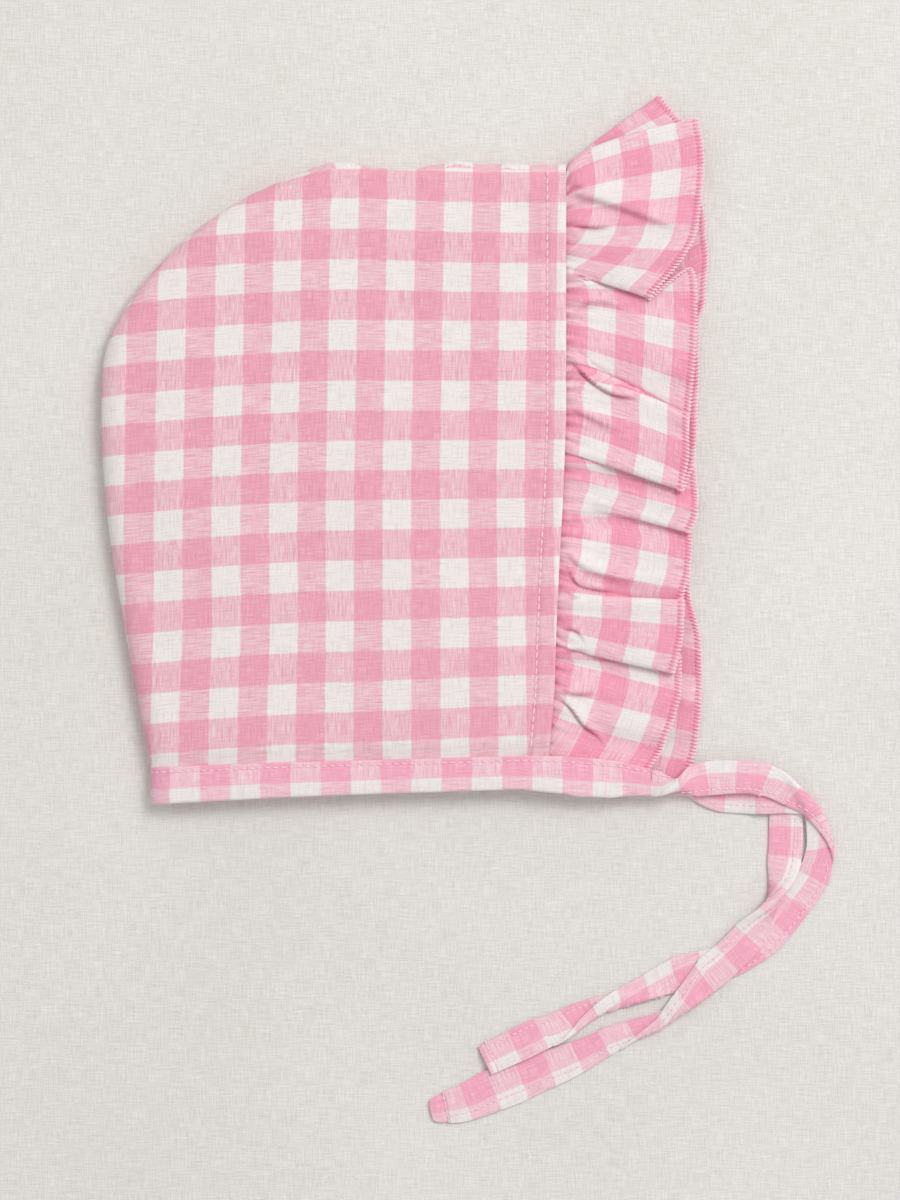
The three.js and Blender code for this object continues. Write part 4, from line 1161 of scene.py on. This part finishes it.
def build_tie(name, tie, stitch_side, stitch_inset, check_start, check_scale, seam_inset, end_shift):
    """seam_inset is where its end is sewn across, end_shift how far the checks jump there."""
    side, high = tie_profile()
    stations = np.linspace(0, tie.length, int(tie.length / TIE_STATION))
    stitch_at = stitch_side * (TIE_WIDTH / 2 - stitch_inset)
    groove = np.exp(-((side * TIE_WIDTH / 2 - stitch_at) / 0.5) ** 2)
    sections = []
    for s in stations:
        wavy = 1 + 0.03 * math.sin(s / 6.5) + 0.02 * math.sin(s / 2.9)
        soft = 0.78 + 0.22 * (1 - side ** 2) + 0.08 * math.sin(s / 2.3) * side
        # The end is drawn in by its seam and puckers beside it
        seam_way = s - (tie.length - seam_inset)
        soft = soft * (1 - 0.45 * math.exp(-(seam_way / 0.6) ** 2))
        soft = soft * (1 + 0.3 * np.sin(side * 11) * math.exp(-(seam_way / seam_inset) ** 2))
        half = TIE_THICKNESS / 2 * soft * (1 - 0.35 * groove)
        sections.append(tie.surface(s, side * TIE_WIDTH / 2 * wavy, high * half)[0])
    sections = np.array(sections)
    sections[..., 2] = np.maximum(sections[..., 2], 0.02)
    along = np.broadcast_to(stations[:, None], sections.shape[:2])
    across = np.broadcast_to((1 - side) * TIE_WIDTH / 2, along.shape)
    checks = BAND_DARK_X + check_start - along * check_scale
    checks = checks + end_shift * (along > tie.length - seam_inset)
    cloth = np.stack([checks, across, np.zeros_like(along)], axis=-1)
    made = make_sweep(name, sections, cloth, band_cloth)
    rows = []
    for face in (1.0, -1.0):
        for s in np.arange(1.5, tie.length - seam_inset - 1, TIE_STITCH_PITCH):
            at = [tie.surface(s + step, np.array([stitch_at]), np.array([face * TIE_THICKNESS * 0.44]))
                  for step in (-0.6, 0, 0.6)]
            rows.append((at[1][0][0], at[2][0][0] - at[0][0][0], at[1][1][0] * face))
    # The end is sewn across
    end = tie.length - seam_inset
    for c in np.arange(-TIE_WIDTH / 2 + 0.8, TIE_WIDTH / 2 - 0.4, 1.6):
        for face in (1.0, -1.0):
            point, normal = tie.surface(end, np.array([c]), np.array([face * TIE_THICKNESS * 0.4]))
            ahead = tie.surface(end, np.array([c + 0.5]), np.array([face * TIE_THICKNESS * 0.4]))[0]
            rows.append((point[0], ahead[0] - point[0], normal[0] * face))
    places, tangents, normals = (np.array([row[k] for row in rows]) for k in range(3))
    low = places[:, 2] < STITCH_CLEAR
    places[low, 2] = STITCH_CLEAR
    tangents[low, 2] = 0
    stitches = make_stitches(name + "_stitches", places, unit(tangents), unit(normals), 1.5, 0.5, 0.42,
                             pale_thread)
    return made, stitches


# Build the cloth
upper_panel = build_panel(1, "right_hood_panel")
lower_panel = build_panel(-1, "left_hood_panel")
ruffle, hem_edge, hem_normals, hem_outward = build_ruffle()
overlock = build_overlock("ruffle_overlock", hem_edge, hem_normals, hem_outward)
band, band_stations, band_along = build_band()
right_shape = Tie(RIGHT_TIE_LEGS, RIGHT_TIE_TURNS, RIGHT_TIE_PROFILE)
left_shape = Tie(LEFT_TIE_LEGS, LEFT_TIE_TURNS, LEFT_TIE_PROFILE)
right_tie, right_stitches = build_tie("right_tie_strip", right_shape, 1, 1.7, 33, 1.02, 2.7, 0)
left_tie, left_stitches = build_tie("left_tie_strip", left_shape, -1, 2.6, 6.9, 1, 5, TIP_JUMP)


# Stitches along the face hem and the band
def hem_stitches():
    y = np.arange(FACE_BOTTOM_Y + 6, FACE_TOP_Y - 3, STITCH_PITCH)
    x = face_edge_x(y) - HEM_WIDTH
    z = 2 * SEAM_LEVEL - GAP / 2 + upper_rise(x, y) + 0.2
    slant = np.column_stack([np.full(len(y), 0.16), np.ones(len(y)), np.zeros(len(y))])
    return make_stitches("face_hem_stitches", np.column_stack([x, y, z]), unit(slant),
                         np.tile([0, 0, 1.0], (len(y), 1)), 2, 0.6, 0.55, pale_thread)


def band_stitches():
    at = np.arange(2, band_along[-1] - 2, STITCH_PITCH)
    row = [np.interp(at, band_along, band_stations[:, k]) for k in range(4)]
    places = np.array([band_place(x, 0.86, 0.05, level, ox, oz, s)
                       for x, level, ox, oz, s in zip(*row, at)])
    normals = unit(np.column_stack([row[2], np.zeros(len(at)), row[3]]))
    tangents = unit(np.gradient(places, axis=0))
    return make_stitches("band_stitches", places, tangents, normals, 1.8, 0.5, 0.5, pale_thread)


face_stitches = hem_stitches()
top_stitches = band_stitches()

# Each piece, the CAD part it stands for, and a slot name that nothing reads; each piece is attached to the root and its
# CAD part hidden
PIECES = [
    (upper_panel, "right_side_panel", "hood_gingham"),
    (lower_panel, "left_side_panel", "hood_gingham"),
    (ruffle, "ruffle", "ruffle_gingham"),
    (overlock, None, "ruffle_gingham"),
    (band, "neck_band", "band_gingham"),
    (right_tie, "right_tie", "band_gingham"),
    (left_tie, "left_tie", "band_gingham"),
    (face_stitches, None, "hood_gingham"),
    (top_stitches, None, "band_gingham"),
    (right_stitches, None, "band_gingham"),
    (left_stitches, None, "band_gingham"),
]
for piece, node, slot in PIECES:
    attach(piece, "root")
    if node:
        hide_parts(node)


# The surface that it lies on
def linen():
    s = Surface("pale_linen", roughness=0.9, sheen=0.05)
    place = s.node("ShaderNodeTexCoord").outputs["Object"]
    parts = s.node("ShaderNodeSeparateXYZ")
    s.link(place, parts.inputs[0])
    x, y = parts.outputs[0], parts.outputs[1]
    across = s.noise(s.vector(s.math("MULTIPLY", x, 150.0), s.math("MULTIPLY", y, 2400.0)), 1.0, 4.0, 0.7)
    along = s.noise(s.vector(s.math("MULTIPLY", x, 2400.0), s.math("MULTIPLY", y, 150.0)), 1.0, 4.0, 0.7)
    weave = s.math("ADD", across, along)
    shade = s.math("MULTIPLY", s.math("SUBTRACT", weave, 1.0), 1.5)
    slow = s.noise(place, 9.0, 2.0)
    share = s.math("ADD", s.math("ADD", shade, 0.5), s.math("MULTIPLY", s.math("SUBTRACT", slow, 0.5), 0.4), clamp=True)
    s.colour(s.blend(share, linear(223, 219, 213), linear(255, 253, 250)))
    s.bump(weave, 0.0004, 0.8)
    return s.material


FLOOR_SIDE = 3.0
floor_mesh = bpy.data.meshes.new("floor")
half = FLOOR_SIDE / 2
floor_mesh.from_pydata([(-half, -half, 0), (half, -half, 0), (half, half, 0), (-half, half, 0)], [], [(0, 1, 2, 3)])
floor = bpy.data.objects.new("floor", floor_mesh)
floor.location.z = -0.0001
bpy.context.scene.collection.objects.link(floor)
floor_mesh.materials.append(linen())

# Soft light from the upper right and an even sky
bpy.context.scene.view_settings.view_transform = "Standard"
world = bpy.data.worlds.new("studio")
bpy.context.scene.world = world
world.use_nodes = True
world.node_tree.nodes["Background"].inputs["Color"].default_value = (1.0, 0.995, 0.985, 1)
world.node_tree.nodes["Background"].inputs["Strength"].default_value = 0.6


def area_light(name, place, target, size, power, colour):
    data = bpy.data.lights.new(name, "AREA")
    data.shape = "SQUARE"
    data.size = size
    data.energy = power
    data.color = colour
    light = bpy.data.objects.new(name, data)
    light.location = place
    light.rotation_euler = (Vector(target) - Vector(place)).to_track_quat("-Z", "Y").to_euler()
    bpy.context.scene.collection.objects.link(light)


area_light("window", (1.05, 0.9, 1.9), (0.03, -0.03, 0), 1.0, 27, (1.0, 0.995, 0.985))

# Straight down on the middle of the photograph
CAMERA_HEIGHT = 1.2
SENSOR = 36.0
camera_data = bpy.data.cameras.new("camera")
camera_data.sensor_width = SENSOR
camera_data.lens = SENSOR * CAMERA_HEIGHT / (IMAGE_HEIGHT * MM_PER_PIXEL * MM)
camera_data.clip_start = 0.01
camera = bpy.data.objects.new("camera", camera_data)
camera.location = (
    (IMAGE_WIDTH / 2 - ORIGIN_PIXEL[0]) * MM_PER_PIXEL * MM,
    (ORIGIN_PIXEL[1] - IMAGE_HEIGHT / 2) * MM_PER_PIXEL * MM,
    CAMERA_HEIGHT,
)
bpy.context.scene.collection.objects.link(camera)
bpy.context.scene.camera = camera
